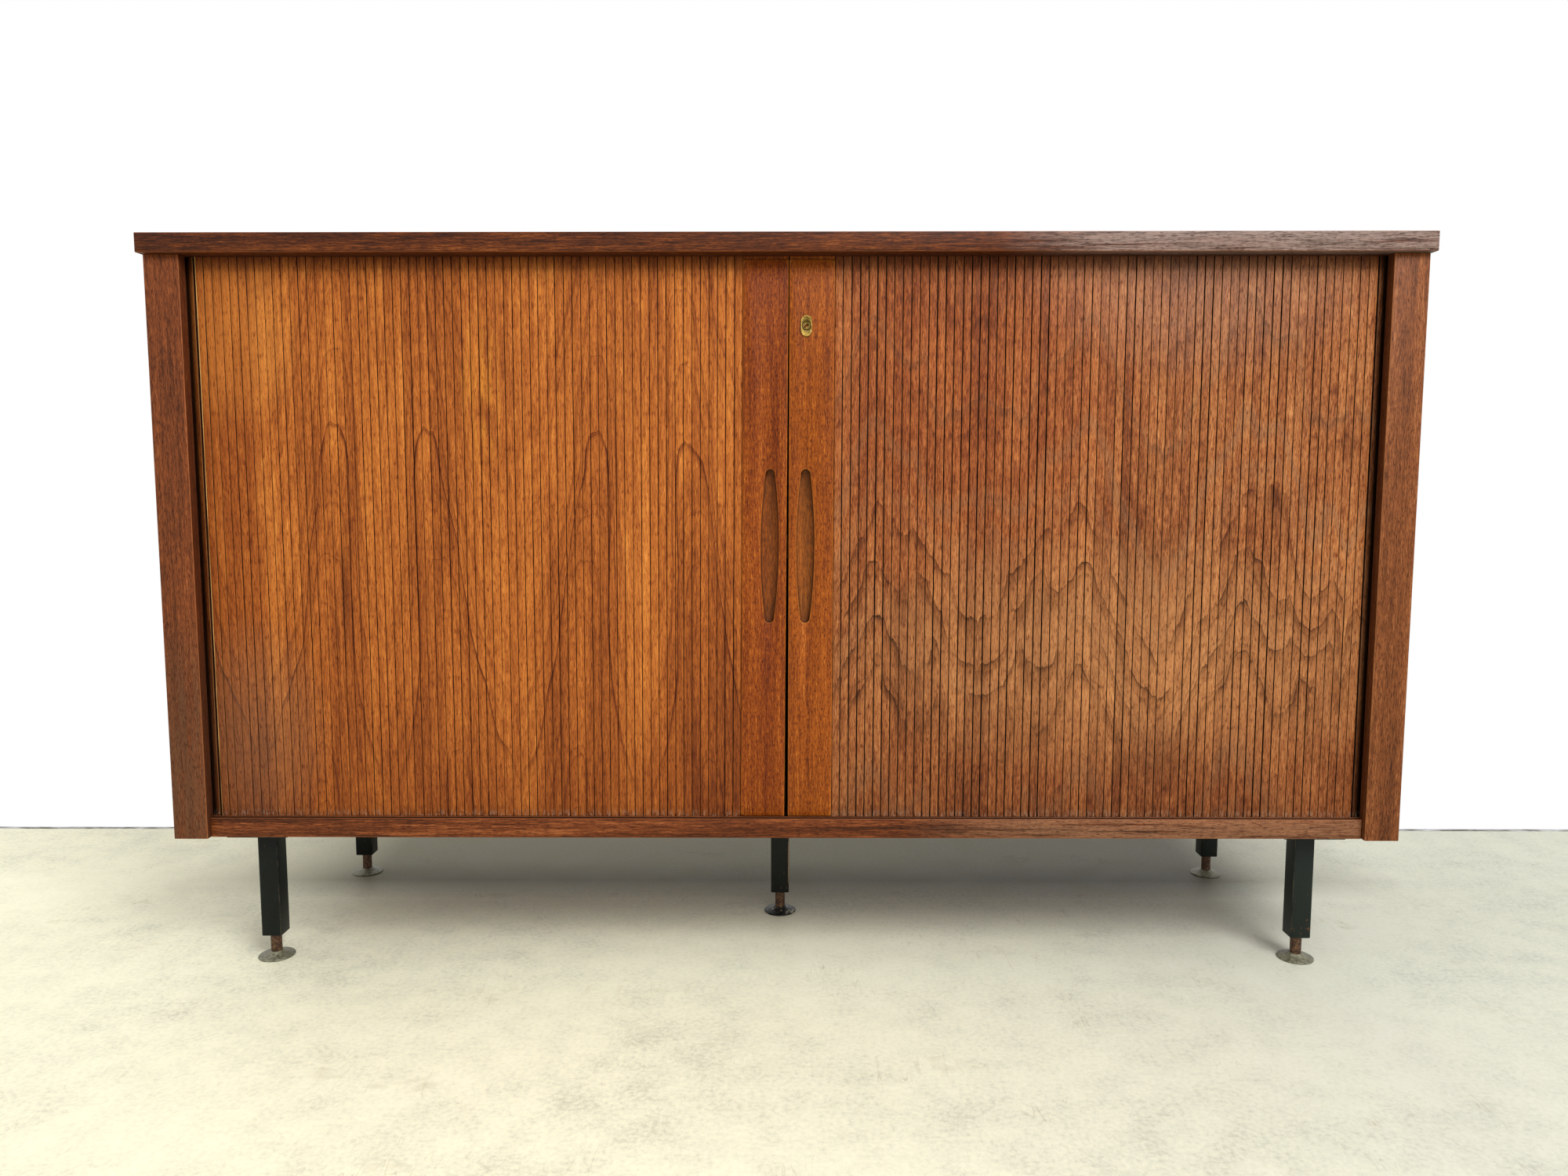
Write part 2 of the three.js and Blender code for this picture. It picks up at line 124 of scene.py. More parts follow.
DOORS = {
    "left": {"side": -1, "edge": 0.0517, "lean": 0.0059, "slit": 0.0006, "pull": 0.0162},
    "right": {"side": 1, "edge": 0.0631, "lean": -0.0022, "slit": 0.001, "pull": 0.0276},
}

STILE_WIDTH = 0.0569
STILE_FRONT = -0.198
STILE_BACK = -0.176
STILE_LOW = 0.21
STILE_HIGH = 0.9235
STILE_ARRIS = 0.001
STILE_BEND = ((1, 0, 0), (0.3, 0.3, 1), (0, 1, 0))
TONGUE_FRONT = -0.195
TONGUE_BACK = -0.188
TONGUE_ROOT = 0.003
TONGUE_GAP = 0.0003
TONGUE_ARRIS = 0.0004
PULL_HEIGHT = 0.5642
PULL_REACH = 0.0927
PULL_BULGE = 0.0057
PULL_END = 0.0058
PULL_DEPTH = 0.011
PULL_SIDE_STEPS = 17
PULL_END_STEPS = 11
# How dark the pull's walls are painted, as painted shade in the recess, and how dark the rough ends of its
# floor are
PULL_WALL_SHADE = 0.9
FLOOR_GRIME = 0.35
# Rings of a finger pull: how far out each grows, how deep it lies, how much lighter and how much darker it is
# painted. The floor is painted lighter, as painted light against the recess's shade; the walls are painted
# dark, as painted shade.
PULL_RINGS = (
    (-0.0025, PULL_DEPTH, 0.25, 0),
    (-0.0007, PULL_DEPTH - 0.0006, 0.1, 0.5),
    (0, PULL_DEPTH - 0.0024, 0, 1),
    (0, 0.003, 0, 1),
    (0, 0.001, 0, 0.9),
    (0.0004, 0.0003, 1, 0),
    (0.0011, 0, 0, 0),
)

LOCK_X = 0.02732
LOCK_Z = 0.842

LEGS = {
    "front_left": (-0.697, -0.1565),
    "front_right": (0.697, -0.1565),
    "rear_left": (-0.697, 0.1665),
    "rear_right": (0.697, 0.1665),
    "centre": (-0.008, 0.005),
}

# Mesh: every piece is one or more skins of points on a grid


def shell(points, faces, material=0, rounded=False, **tags):
    """One skin. Its tags are numbers or vectors that its material reads, one for each point."""
    return {"points": points, "faces": faces, "material": material, "rounded": rounded, "tags": tags}


def wound(rows, around):
    """Quads between neighbouring rings, each ring closed on itself, with a flat face at each end."""
    row, spoke = np.meshgrid(np.arange(rows - 1), np.arange(around), indexing="ij")
    after = (spoke + 1) % around
    corners = [row * around + spoke, row * around + after]
    corners += [(row + 1) * around + after, (row + 1) * around + spoke]
    quads = np.stack(corners, axis=-1).reshape(-1, 4).tolist()
    last = (rows - 1) * around
    return quads + [list(range(around))[::-1], list(range(last, last + around))]


def joined_ends(rows, around):
    """Quads that join the last ring to the first, for a form with a hole through it."""
    spoke = np.arange(around)
    after = (spoke + 1) % around
    last = (rows - 1) * around
    return np.stack([last + spoke, last + after, after, spoke], axis=-1).tolist()


def set_tag(mesh, name, values):
    """Stores one number or one vector for each point."""
    kind, field = ("FLOAT", "value") if values.ndim == 1 else ("FLOAT_VECTOR", "vector")
    layer = mesh.attributes.new(name, kind, "POINT")
    layer.data.foreach_set(field, values.astype(np.float32).ravel())


def piece(name, shells, materials, body, node):
    """Joins skins in one mesh, merges their doubles, turns its faces outwards and rides it on its body."""
    points = np.concatenate([one["points"] for one in shells])
    counts = [len(one["points"]) for one in shells]
    starts = np.cumsum([0] + counts[:-1])
    faces, kinds, smooth = [], [], []
    tags = {"wear": [], "hollow": [], "tone": [], "grain": []}
    for one, start, count in zip(shells, starts, counts):
        wear = one["tags"].get("wear", np.zeros(count))
        faces += [[start + corner for corner in face] for face in one["faces"]]
        kinds += [one["material"]] * len(one["faces"])
        smooth += [one["rounded"] or bool(max(wear[face]) > 0) for face in one["faces"]]
        for tag, values in tags.items():
            plain = one["points"] if tag == "grain" else np.zeros(count)
            values.append(one["tags"].get(tag, plain))
    mesh = bpy.data.meshes.new(name)
    mesh.from_pydata(points.tolist(), [], faces)
    mesh.polygons.foreach_set("material_index", kinds)
    mesh.polygons.foreach_set("use_smooth", smooth)
    for tag, values in tags.items():
        set_tag(mesh, tag, np.concatenate(values))
    work = bmesh.new()
    work.from_mesh(mesh)
    bmesh.ops.remove_doubles(work, verts=work.verts, dist=DOUBLE_REACH)
    bmesh.ops.dissolve_degenerate(work, edges=work.edges, dist=DOUBLE_REACH / 10)
    bmesh.ops.recalc_face_normals(work, faces=work.faces)
    work.to_mesh(mesh)
    work.free()
    mesh.set_sharp_from_angle(angle=SHARP_ANGLE)
    for surface in materials:
        mesh.materials.append(surface)
    made = placed(name, mesh)
    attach(made, body)
    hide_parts(node)
    return made


def rings(levels, centre=(0, 0), axis=2, steps=QUARTER_STEPS, turn=0):
    """Rounded rectangles stacked along an axis: each corner's arc centre plus the radius at even angles.

    A level is half the width, half the depth, the corner radius, the height and how worn it is; on wood that
    wear is also painted as a highlight.
    """
    half_x, half_y, radius, height, worn = [np.array(part)[:, None] for part in zip(*levels)]
    corner = np.repeat(np.arange(4), steps + 1)
    share = np.tile(np.linspace(0, 1, steps + 1), 4)
    angle = (corner + share) * QUARTER
    sign_x = np.array([1, -1, -1, 1])[corner]
    sign_y = np.array([1, 1, -1, -1])[corner]
    across = sign_x * (half_x - radius) + radius * np.cos(angle)
    deep = sign_y * (half_y - radius) + radius * np.sin(angle)
    if turn:
        cos, sin = math.cos(turn), math.sin(turn)
        across, deep = across * cos - deep * sin, across * sin + deep * cos
    along = np.broadcast_to(height, across.shape)
    order = {0: (along, across, deep), 1: (across, along, deep), 2: (across, deep, along)}[axis]
    points = np.stack(order, axis=-1)
    shift = {0: (0, *centre), 1: (centre[0], 0, centre[1]), 2: (*centre, 0)}[axis]
    on_corner = (np.abs(share - 0.5) < WORN_SHARE) & (radius > SAME_PLACE)
    wear = np.maximum(np.broadcast_to(worn, on_corner.shape), on_corner)
    return (points + shift).reshape(-1, 3), wound(len(levels), 4 * (steps + 1)), wear.ravel()


def eased(half_x, half_y, low, high, arris, corner=None, bend=3):
    """A board's levels: a quarter circle inwards at each end, so that every arris is rounded."""
    corner = arris if corner is None else corner
    angle = np.linspace(0, QUARTER, bend + 1)
    inset = arris * (1 - np.sin(angle))
    rise = arris * (1 - np.cos(angle))
    worn = (angle > 0) & (angle < QUARTER)
    ends = list(zip(inset, rise, worn))
    foot = [(half_x - i, half_y - i, max(corner - i, 0), low + r, w) for i, r, w in ends]
    head = [(half_x - i, half_y - i, max(corner - i, 0), high - r, w) for i, r, w in ends[::-1]]
    return foot + head


def slab(low, high, arris):
    """A board between two corners with rounded arrises, as one skin."""
    low, high = np.array(low), np.array(high)
    half, centre = (high - low) / 2, (high + low) / 2
    levels = eased(half[0], half[1], low[2], high[2], arris)
    points, faces, wear = rings(levels, centre[:2], steps=SLAB_STEPS)
    return shell(points, faces, wear=wear)


def lathe(levels, centre, material=0, axis=2, steps=CIRCLE_STEPS):
    """A turned form: circles of the given radii, stacked along an axis."""
    stack = [(radius, radius, radius, height, 0) for radius, height in levels]
    points, faces, _ = rings(stack, centre, axis, steps)
    return shell(points, faces, material, rounded=True)


# Materials: a stain multiplies what it covers, a paint hides it

STAIN = "MULTIPLY"
PAINT = "MIX"


def linear(code):
    """An sRGB hex colour as linear numbers."""
    value = np.array([int(code[i : i + 2], 16) for i in (1, 3, 5)]) / 255
    bright = ((value + 0.055) / 1.055) ** 2.4
    return (*np.where(value <= 0.04045, value / 12.92, bright).tolist(), 1.0)


def add(tree, kind, inputs=(), stops=(), **settings):
    """Adds a shader node with its settings and links.

    Inputs go in by order or by name: a number, a hex colour, a socket, or a node's first output.
    Stops are a ramp's places and colours, or the points of a smooth curve from 0 to 1 both ways.
    """
    node = tree.nodes.new("ShaderNode" + kind)
    for name, value in settings.items():
        setattr(node, name, value)
    if kind == "FloatCurve":
        points = node.mapping.curves[0].points
        for place, height in stops[1:-1]:
            points.new(place, height)
        for point, spot in zip(points, stops):
            point.location = spot
        node.mapping.update()
    elif stops:
        band = node.color_ramp.elements
        band.remove(band[1])
        for i, (place, value) in enumerate(stops):
            stop = band[0] if i == 0 else band.new(place)
            stop.position = place
            stop.color = linear(value) if isinstance(value, str) else (value, value, value, 1)
    for key, value in inputs.items() if isinstance(inputs, dict) else enumerate(inputs):
        by_name = (socket for socket in node.inputs if socket.enabled and socket.name == key)
        socket = node.inputs[key] if isinstance(key, int) else next(by_name)
        if isinstance(value, bpy.types.Node):
            value = next(output for output in value.outputs if output.enabled)
        if isinstance(value, bpy.types.NodeSocket):
            tree.links.new(value, socket)
        else:
            socket.default_value = linear(value) if isinstance(value, str) else value
    return node


def material(name, build, *values):
    """A material whose surface is what build returns."""
    made = bpy.data.materials.new(name)
    made.use_nodes = True
    made.node_tree.nodes.clear()
    surface = build(made.node_tree, *values)
    add(made.node_tree, "OutputMaterial", {"Surface": surface})
    return made


def located(tree, grained=False):
    """Where a point is on the cabinet, with that place's X, Y and Z.

    A grained piece says itself where a point is in its wood, so that a leaning slat keeps its figure.
    """
    source = add(tree, "Attribute", attribute_name="grain") if grained else add(tree, "TexCoord")
    place = source.outputs["Vector" if grained else "Object"]
    parts = add(tree, "SeparateXYZ", (place,))
    return place, *(parts.outputs[axis] for axis in "XYZ")


def tagged(tree, *names):
    """The numbers that a piece's points carry under these names."""
    return [add(tree, "Attribute", attribute_name=name).outputs["Fac"] for name in names]


def speck(tree, place, size, detail=3, rough=0.5, shift=0):
    """Noise whose blobs have the given size in metres along X, Y and Z."""
    scale = tuple(1 / length for length in size)
    spread = add(tree, "Mapping", {"Vector": place, "Scale": scale, "Location": (shift, shift, shift)})
    parts = {"Vector": spread, "Scale": 1, "Detail": detail, "Roughness": rough}
    return add(tree, "TexNoise", parts)


def summed(tree, total, *terms):
    """A total to which each value is added as often as its weight says."""
    for value, weight in terms:
        total = add(tree, "Math", (value, weight, total), operation="MULTIPLY_ADD")
    return total


def blended(tree, *parts):
    """A weighted sum of values about their middle, 0.5: the weights say how much each shows."""
    return summed(tree, 0.5 - 0.5 * sum(weight for _, weight in parts), *parts)


def product(tree, *parts):
    """The product of numbers, masks and fades.

    A fade is a value, where it starts and where it ends, then how much shows there if that isn't 0 and 1.
    """
    total = None
    for part in parts:
        if isinstance(part, tuple):
            part = add(tree, "MapRange", part)
        total = part if total is None else add(tree, "Math", (total, part), operation="MULTIPLY")
    return total


def layered(tree, colour, layers):
    """Stains and paints laid over a colour in order, each as strong as the product of its masks."""
    for blend, shade, *masks in layers:
        parts = {"Factor": product(tree, *masks), "A": colour, "B": shade}
        colour = add(tree, "Mix", parts, data_type="RGBA", blend_type=blend)
    return colour


def patch(tree, across, up, centre, half):
    """1 in the middle of an upright ellipse and 0 outside: one less its squared distance, kept above 0."""
    total = 1
    for place, middle, reach in zip((across, up), centre, half):
        away = add(tree, "Math", (place, middle), operation="SUBTRACT")
        share = add(tree, "Math", (away, reach), operation="DIVIDE")
        total = add(tree, "Math", (total, product(tree, share, share)), operation="SUBTRACT")
    return add(tree, "Math", (total, 0), operation="MAXIMUM")


def oiled(tree, colour, relief):
    """Oiled wood: a soft sheen broken by the open grain, which is also its relief."""
    gloss = product(tree, (relief, 0, 1, 0.58, 0.4))
    bump = add(tree, "Bump", {"Height": relief, "Strength": 0.5, "Distance": 0.00025})
    parts = {"Base Color": colour, "Roughness": gloss, "Normal": bump, "Specular IOR Level": 0.16}
    return add(tree, "BsdfPrincipled", parts)


def steepness(tree, slope):
    """How much longer a slanting line's step in height is than its step square to it."""
    squared = summed(tree, 1, (slope, slope))
    return add(tree, "Math", (squared,), operation="SQRT")


def growth_lines(tree, height, spacing, start, steep, reach, strongest=None, weak=0.8):
    """Growth lines: 1 on a line, fading on its lower side over a reach in metres, however steep it runs.

    A line lies where the count of rings, height / spacing + start, is whole. Each has a strength of its own,
    at most weak, but for the strongest: a middle ring and how many rings on either side are full lines.
    """
    count = summed(tree, start, (height, 1 / spacing))
    late = add(tree, "Math", (count,), operation="FRACT")
    ring = add(tree, "Math", (count,), operation="FLOOR")
    above = add(tree, "Math", (1, late), operation="SUBTRACT")
    away = add(tree, "Math", (above, steep), operation="DIVIDE")
    chance = add(tree, "TexWhiteNoise", {"W": ring}, noise_dimensions="1D").outputs["Value"]
    strength = product(tree, (chance, 0.35, 1, 0, weak))
    if strongest:
        chosen = add(tree, "Math", (ring, *strongest), operation="COMPARE")
        strength = add(tree, "Math", (strength, chosen), operation="MAXIMUM")
    return product(tree, (away, reach / spacing, 0), strength)


def slat_finish(tree, place, across, up, pore, arris, rubbed_and_highlight, wall):
    """A curtain's last layers: pores, painted shade on the slats that turn into the corner, scuffs, a painted
    shadow under the top, arrises painted light as wear and highlight, and slit walls painted dark as shade.

    The pores are short dashes along the grain, under a millimetre wide.
    """
    dots = speck(tree, place, (0.0012, 1, 0.009), 2, 0.5, 13)
    dash = add(tree, "ValToRGB", (dots,), ((0.36, 1), (0.45, 0)))
    # Slats past the corner painted nearly black: painted shade where they turn away behind the post
    out = add(tree, "Math", (across,), operation="ABSOLUTE")
    depth = product(tree, (out, 0.74, 0.75))
    corner_shade = add(tree, "ValToRGB", (depth,), ((0.31, 0), (0.35, 0.5), (0.7, 0.66), (1, 0.95)))
    scuffs = speck(tree, place, (0.003, 1, 0.01), 3, 0.7, 31)
    scuff = add(tree, "ValToRGB", (scuffs,), ((0.5, 0), (0.56, 1)))
    at_foot = (up, 0.219, 0.21, 0, 0.45)
    # A painted shadow under the top's overhang
    top_shadow = (up, 0.908, 0.93)
    wear, hollow = tagged(tree, "wear", "hollow")
    return [
        (STAIN, pore, dash),
        (PAINT, "#060302", corner_shade),
        (PAINT, "#A98C74", scuff, at_foot),
        (STAIN, "#94806F", top_shadow),
        # Arrises painted lighter: partly wear, partly a painted highlight
        (PAINT, arris, wear, rubbed_and_highlight),
        # Slit walls painted dark: painted shade in the slits
        (PAINT, wall, hollow),
    ]


LEFT_SEAM = -0.515
LEFT_LEAF = 0.1675
ARCH_AXIS = 0.1036
ARCH_HALF = 0.11
ARCH_HEIGHT = 0.6
ARCH_RISE = (
    (0, 0), (0.09, 0.01), (0.15, 0.05), (0.2, 0.18), (0.318, 0.467),
    (0.45, 0.62), (0.7, 0.76), (0.9, 0.82), (1, 0.84),
)
ARCH_SLOPE = (
    (0, 0), (0.09, 0.1), (0.15, 0.8), (0.2, 0.93), (0.318, 0.8),
    (0.45, 0.45), (0.7, 0.25), (0.9, 0.15), (1, 0.05),
)
SLOPE_SCALE = 15


def left_figure(tree, place, across, up):
    """Book-matched leaves with bullet-shaped arches: the rings' height and steepness, the place on the leaf,
    and the share of the way from an arch's axis to its foot.

    Over the distance from an arch's axis the height rises as a cubic, then ever more slowly to the seam.
    """
    from_seam = add(tree, "Math", (across, LEFT_SEAM), operation="SUBTRACT")
    leaf_place = add(tree, "Math", (from_seam, LEFT_LEAF), operation="DIVIDE")
    leaf = add(tree, "Math", (leaf_place,), operation="FLOOR")
    folded = add(tree, "Math", (from_seam, LEFT_LEAF), operation="PINGPONG")
    matched = add(tree, "CombineXYZ", (folded, product(tree, leaf, 0.012), up))
    warp = speck(tree, matched, (0.06, 0.05, 0.25), 2)
    sway = add(tree, "Math", (warp, 0.5), operation="SUBTRACT")
    bent = summed(tree, folded, (sway, 0.03))
    lowered = summed(tree, up, (leaf, 0.006))
    axis = summed(tree, ARCH_AXIS, (lowered, -0.06))
    from_axis = add(tree, "Math", (bent, axis), operation="SUBTRACT")
    aside = add(tree, "Math", (from_axis,), operation="ABSOLUTE")
    share = add(tree, "Math", (aside, ARCH_HALF), operation="DIVIDE")
    rise = add(tree, "FloatCurve", {"Value": share}, ARCH_RISE)
    shaken = speck(tree, place, (0.012, 1, 0.06), 2, 0.5, 41)
    height = summed(tree, lowered, (rise, ARCH_HEIGHT), (sway, 0.06), (shaken, 0.02))
    slope = product(tree, add(tree, "FloatCurve", {"Value": share}, ARCH_SLOPE), SLOPE_SCALE)
    return height, steepness(tree, slope), matched, share


def left_lines(tree, place, share, height, steep):
    """Dark growth lines with a soft shade below, strongest at the arches' heads, and finer lines between."""
    patchy = speck(tree, place, (0.03, 1, 0.12), 2, shift=7)
    head = product(tree, (share, 0.25, 0.75, 1, 0.15))
    strong = product(tree, (patchy, 0.3, 0.5, 0.35), head)
    layers = []
    for spacing, start, strongest in ((0.083, 0.25, (8, 0.6)), (0.047, 0.6, None)):
        shade = growth_lines(tree, height, spacing, start, steep, 0.007, strongest)
        line = growth_lines(tree, height, spacing, start, steep, 0.0018, strongest)
        layers += [(STAIN, "#DCD0C4", shade, head), (STAIN, "#A8907E", line, strong)]
    fine = growth_lines(tree, height, 0.014, 0, steep, 0.0014)
    return layers + [(STAIN, "#C4AC98", fine, (steep, 9, 3), (patchy, 0.5, 0.6))]


def left_veneer(tree):
    """Walnut veneer in book-matched leaves: bullet-shaped arches, ochre stripes and dark growth lines."""
    place, across, _, up = located(tree, grained=True)
    height, steep, matched, share = left_figure(tree, place, across, up)
    ring = add(tree, "TexNoise", {"W": height, "Scale": 22, "Detail": 2}, noise_dimensions="1D")
    stripe = speck(tree, matched, (0.011, 0.05, 0.7), 3, 0.6, 3)
    strand = speck(tree, place, (0.004, 1, 0.12), 3, 0.6, 17)
    broad = speck(tree, matched, (0.04, 0.05, 0.45), 2, 0.5, 11)
    cloud = speck(tree, place, (0.07, 1, 0.5), 2, 0.5, 19)
    fibre = speck(tree, place, (0.0016, 1, 0.02), 4, 0.75)
    (tone,) = tagged(tree, "tone")
    figure = ((ring, 0.2), (stripe, 0.5), (broad, 0.4))
    mixture = blended(tree, *figure, (strand, 0.6), (cloud, 0.5), (fibre, 1.4), (tone, 0.1))
    browns = ((0.1, "#602A0D"), (0.28, "#814014"), (0.4, "#96501C"), (0.5, "#A55A22"))
    ochres = ((0.58, "#B06427"), (0.68, "#BB6F2D"), (0.8, "#CA7B34"), (0.92, "#DE9446"))
    colour = add(tree, "ValToRGB", (mixture,), browns + ochres)
    streak = patch(tree, across, up, (-0.568, 0.505), (0.007, 0.085))
    flame = patch(tree, across, up, (-0.385, 0.76), (0.03, 0.12))
    licks = speck(tree, place, (0.005, 1, 0.05), 2, 0.5, 5)
    lick = add(tree, "ValToRGB", (licks,), ((0.42, 0), (0.7, 0.9)))
    gold = patch(tree, across, up, (-0.7, 0.83), (0.09, 0.12))
    dusty = patch(tree, across, up, (-0.69, 0.32), (0.1, 0.16))
    near_floor = (up, 0.4, 0.2, 0, 0.9)
    edge = (across, -0.66, -0.68, 0, 0.7)
    # Where the slats' arrises are painted lighter: a painted highlight near the post
    near_post_highlight = (across, -0.71, -0.745, 0, 0.9)
    # A painted highlight: the lit arris of the last flat slat before the corner
    last_arris_highlight = add(tree, "Math", (across, -0.7421, 0.0007), operation="COMPARE")
    layers = left_lines(tree, place, share, height, steep)
    layers += [
        (STAIN, "#8E7058", streak, fibre),
        (PAINT, "#CE8430", flame, lick),
        (PAINT, "#DE9040", gold, strand),
        (STAIN, "#D6CABC", near_floor),
        (STAIN, "#D0BCAC", edge),
        (PAINT, "#7C6048", dusty, 0.3),
    ]
    # Pores, arrises painted light near the post as highlight, slit walls painted dark as shade
    layers += slat_finish(tree, place, across, up, "#C0A898", "#C88A4A", near_post_highlight, "#241006")
    layers.append((PAINT, "#E0B070", last_arris_highlight, (strand, 0.3, 0.55)))
    return oiled(tree, layered(tree, colour, layers), fibre)


RIGHT_SEAM = 0.251
RIGHT_LEAF = 0.235
BOWL_HEIGHT = 0.21
BOWL_RISE = (
    (0, 0.1), (0.035, 0.24), (0.2, 0.3), (0.3, 0.5), (0.38, 0.66), (0.5, 0.9),
    (0.56, 1), (0.63, 0.86), (0.8, 0.47), (0.93, 0.16), (1, 0.05),
)
BOWL_SLOPE = (
    (0, 0.9), (0.04, 0.45), (0.08, 0.12), (0.2, 0.15), (0.3, 0.45), (0.5, 0.42),
    (0.56, 0.3), (0.63, 0.47), (0.9, 0.5), (1, 0.15),
)
ARC_SIZE = (0.05, 0.05, 0.2)
ARC_HEIGHT = 0.16


def right_figure(tree, place, across, up):
    """Book-matched leaves: the rings' height, how steep they run, and the share of the way across a leaf.

    From one seam a ring climbs to a peak and falls in a bowl round the next. Near the first seam it hangs
    in arcs round random points, as the square of the distance to the nearest, which meet in sharp cusps.
    """
    from_seam = add(tree, "Math", (across, RIGHT_SEAM), operation="SUBTRACT")
    folded = add(tree, "Math", (from_seam, RIGHT_LEAF), operation="PINGPONG")
    pair_place = summed(tree, 0.5, (from_seam, 0.5 / RIGHT_LEAF))
    pair = add(tree, "Math", (pair_place,), operation="FLOOR")
    matched = add(tree, "CombineXYZ", (folded, product(tree, pair, 0.03), up))
    bend = speck(tree, matched, (0.05, 0.05, 0.08), 2, 0.5, 4)
    share = add(tree, "Math", (folded, RIGHT_LEAF), operation="DIVIDE")
    sway = add(tree, "Math", (bend, 0.5), operation="SUBTRACT")
    shifted = summed(tree, share, (sway, 0.12))
    bowl = add(tree, "FloatCurve", {"Value": shifted}, BOWL_RISE)
    warp = speck(tree, matched, (0.07, 0.05, 0.2), 2, 0.5, 2)
    spread = add(tree, "Mapping", {"Vector": matched, "Scale": tuple(1 / size for size in ARC_SIZE)})
    arc = add(tree, "TexVoronoi", {"Vector": spread, "Scale": 1}).outputs["Distance"]
    near = product(tree, (share, 0.5, 0.3, 0.2))
    hang = product(tree, arc, arc, near)
    quiver = speck(tree, place, (0.009, 1, 0.03), 3, 0.55, 9)
    sunk = summed(tree, up, (bowl, -BOWL_HEIGHT), (pair, -0.02))
    height = summed(tree, sunk, (warp, 0.08), (hang, -ARC_HEIGHT), (quiver, 0.024))
    slope = add(tree, "FloatCurve", {"Value": shifted}, BOWL_SLOPE)
    slope = summed(tree, 0, (slope, 4), (product(tree, arc, near), 3))
    return height, steepness(tree, slope), share


def right_lines(tree, place, share, up, height, steep):
    """A few ink lines, crisp low down and smoky higher up, and fine lines down the flanks of the bowls."""
    patchy = speck(tree, place, (0.04, 1, 0.07), 2, 0.6, 7)
    shown = product(tree, (patchy, 0.4, 0.54, 0.2), (up, 0.28, 0.38, 0.3))
    drawn = product(tree, shown, (up, 0.64, 0.54, 0.25), (steep, 3, 1.6, 0.5))
    layers = []
    for spacing, start, strongest in ((0.07, -2.447, (1.5, 1.6)), (0.11, 0.7, None)):
        smoke = growth_lines(tree, height, spacing, start, steep, 0.012, strongest, 0.6)
        ink = growth_lines(tree, height, spacing, start, steep, 0.002, strongest, 0.4)
        layers += [(STAIN, "#BAAEA2", smoke, shown), (STAIN, "#4C3E36", ink, drawn)]
    fine = growth_lines(tree, height, 0.018, 0, steep, 0.0016)
    flank = (share, 0.48, 0.62)
    low_down = (up, 0.6, 0.5, 0.35)
    return layers + [(STAIN, "#94806F", fine, (patchy, 0.6, 0.44), flank, low_down)]


def right_veneer(tree):
    """Redder walnut veneer with scalloped ink lines in bowls round each seam, and soft grey-brown bands."""
    place, across, _, up = located(tree, grained=True)
    height, steep, share = right_figure(tree, place, across, up)
    ring = add(tree, "TexNoise", {"W": height, "Scale": 14, "Detail": 2}, noise_dimensions="1D")
    stripe = speck(tree, place, (0.012, 1, 0.3), 3, 0.6, 3)
    cloud = speck(tree, place, (0.07, 1, 0.16), 3, 0.5, 19)
    fibre = speck(tree, place, (0.0016, 1, 0.014), 4, 0.75)
    strand = speck(tree, place, (0.004, 1, 0.06), 3, 0.6, 17)
    (tone,) = tagged(tree, "tone")
    figure = ((ring, 0.28), (stripe, 0.45), (strand, 0.5))
    mixture = blended(tree, *figure, (cloud, 0.5), (fibre, 1.6), (tone, 0.2))
    browns = ((0.1, "#4A2009"), (0.3, "#6E3A1A"), (0.41, "#844824"), (0.5, "#93562C"))
    tans = ((0.58, "#9F6135"), (0.68, "#AC6E3E"), (0.8, "#BA7B49"), (0.92, "#CC8E5A"))
    colour = add(tree, "ValToRGB", (mixture,), browns + tans)
    grey = add(tree, "ValToRGB", (ring,), ((0.5, 0), (0.7, 0.4)))
    red = patch(tree, across, up, (0.2, 0.78), (0.3, 0.3))
    # Lighter across the middle: partly the veneer's colour, partly painted light
    pale = patch(tree, across, up, (0.46, 0.42), (0.4, 0.17))
    # A painted reflection: a greyish sheen at the top right
    sheen = patch(tree, across, up, (0.52, 0.93), (0.24, 0.16))
    pool = patch(tree, across, up, (0.489, 0.285), (0.06, 0.05))
    layers = [
        (PAINT, "#70503A", grey),
        (STAIN, "#FAE2CC", red),
        (PAINT, "#BE8856", pale, 0.36),
        (PAINT, "#9A7A6A", sheen, 0.3),
    ]
    layers += right_lines(tree, place, share, up, height, steep)
    # A dark stain, then darker towards the bottom: partly the veneer's colour, partly painted shade
    layers += [(STAIN, "#BCA698", pool, cloud), (STAIN, "#DCD2CA", (up, 0.36, 0.22))]
    # Pores, arrises painted light as highlight, slit walls painted dark as shade
    layers += slat_finish(tree, place, across, up, "#B49A88", "#BC8658", 0.25, "#120704")
    return oiled(tree, layered(tree, colour, layers), fibre)


BROWN_PLACES = (0.15, 0.36, 0.5, 0.64, 0.85)


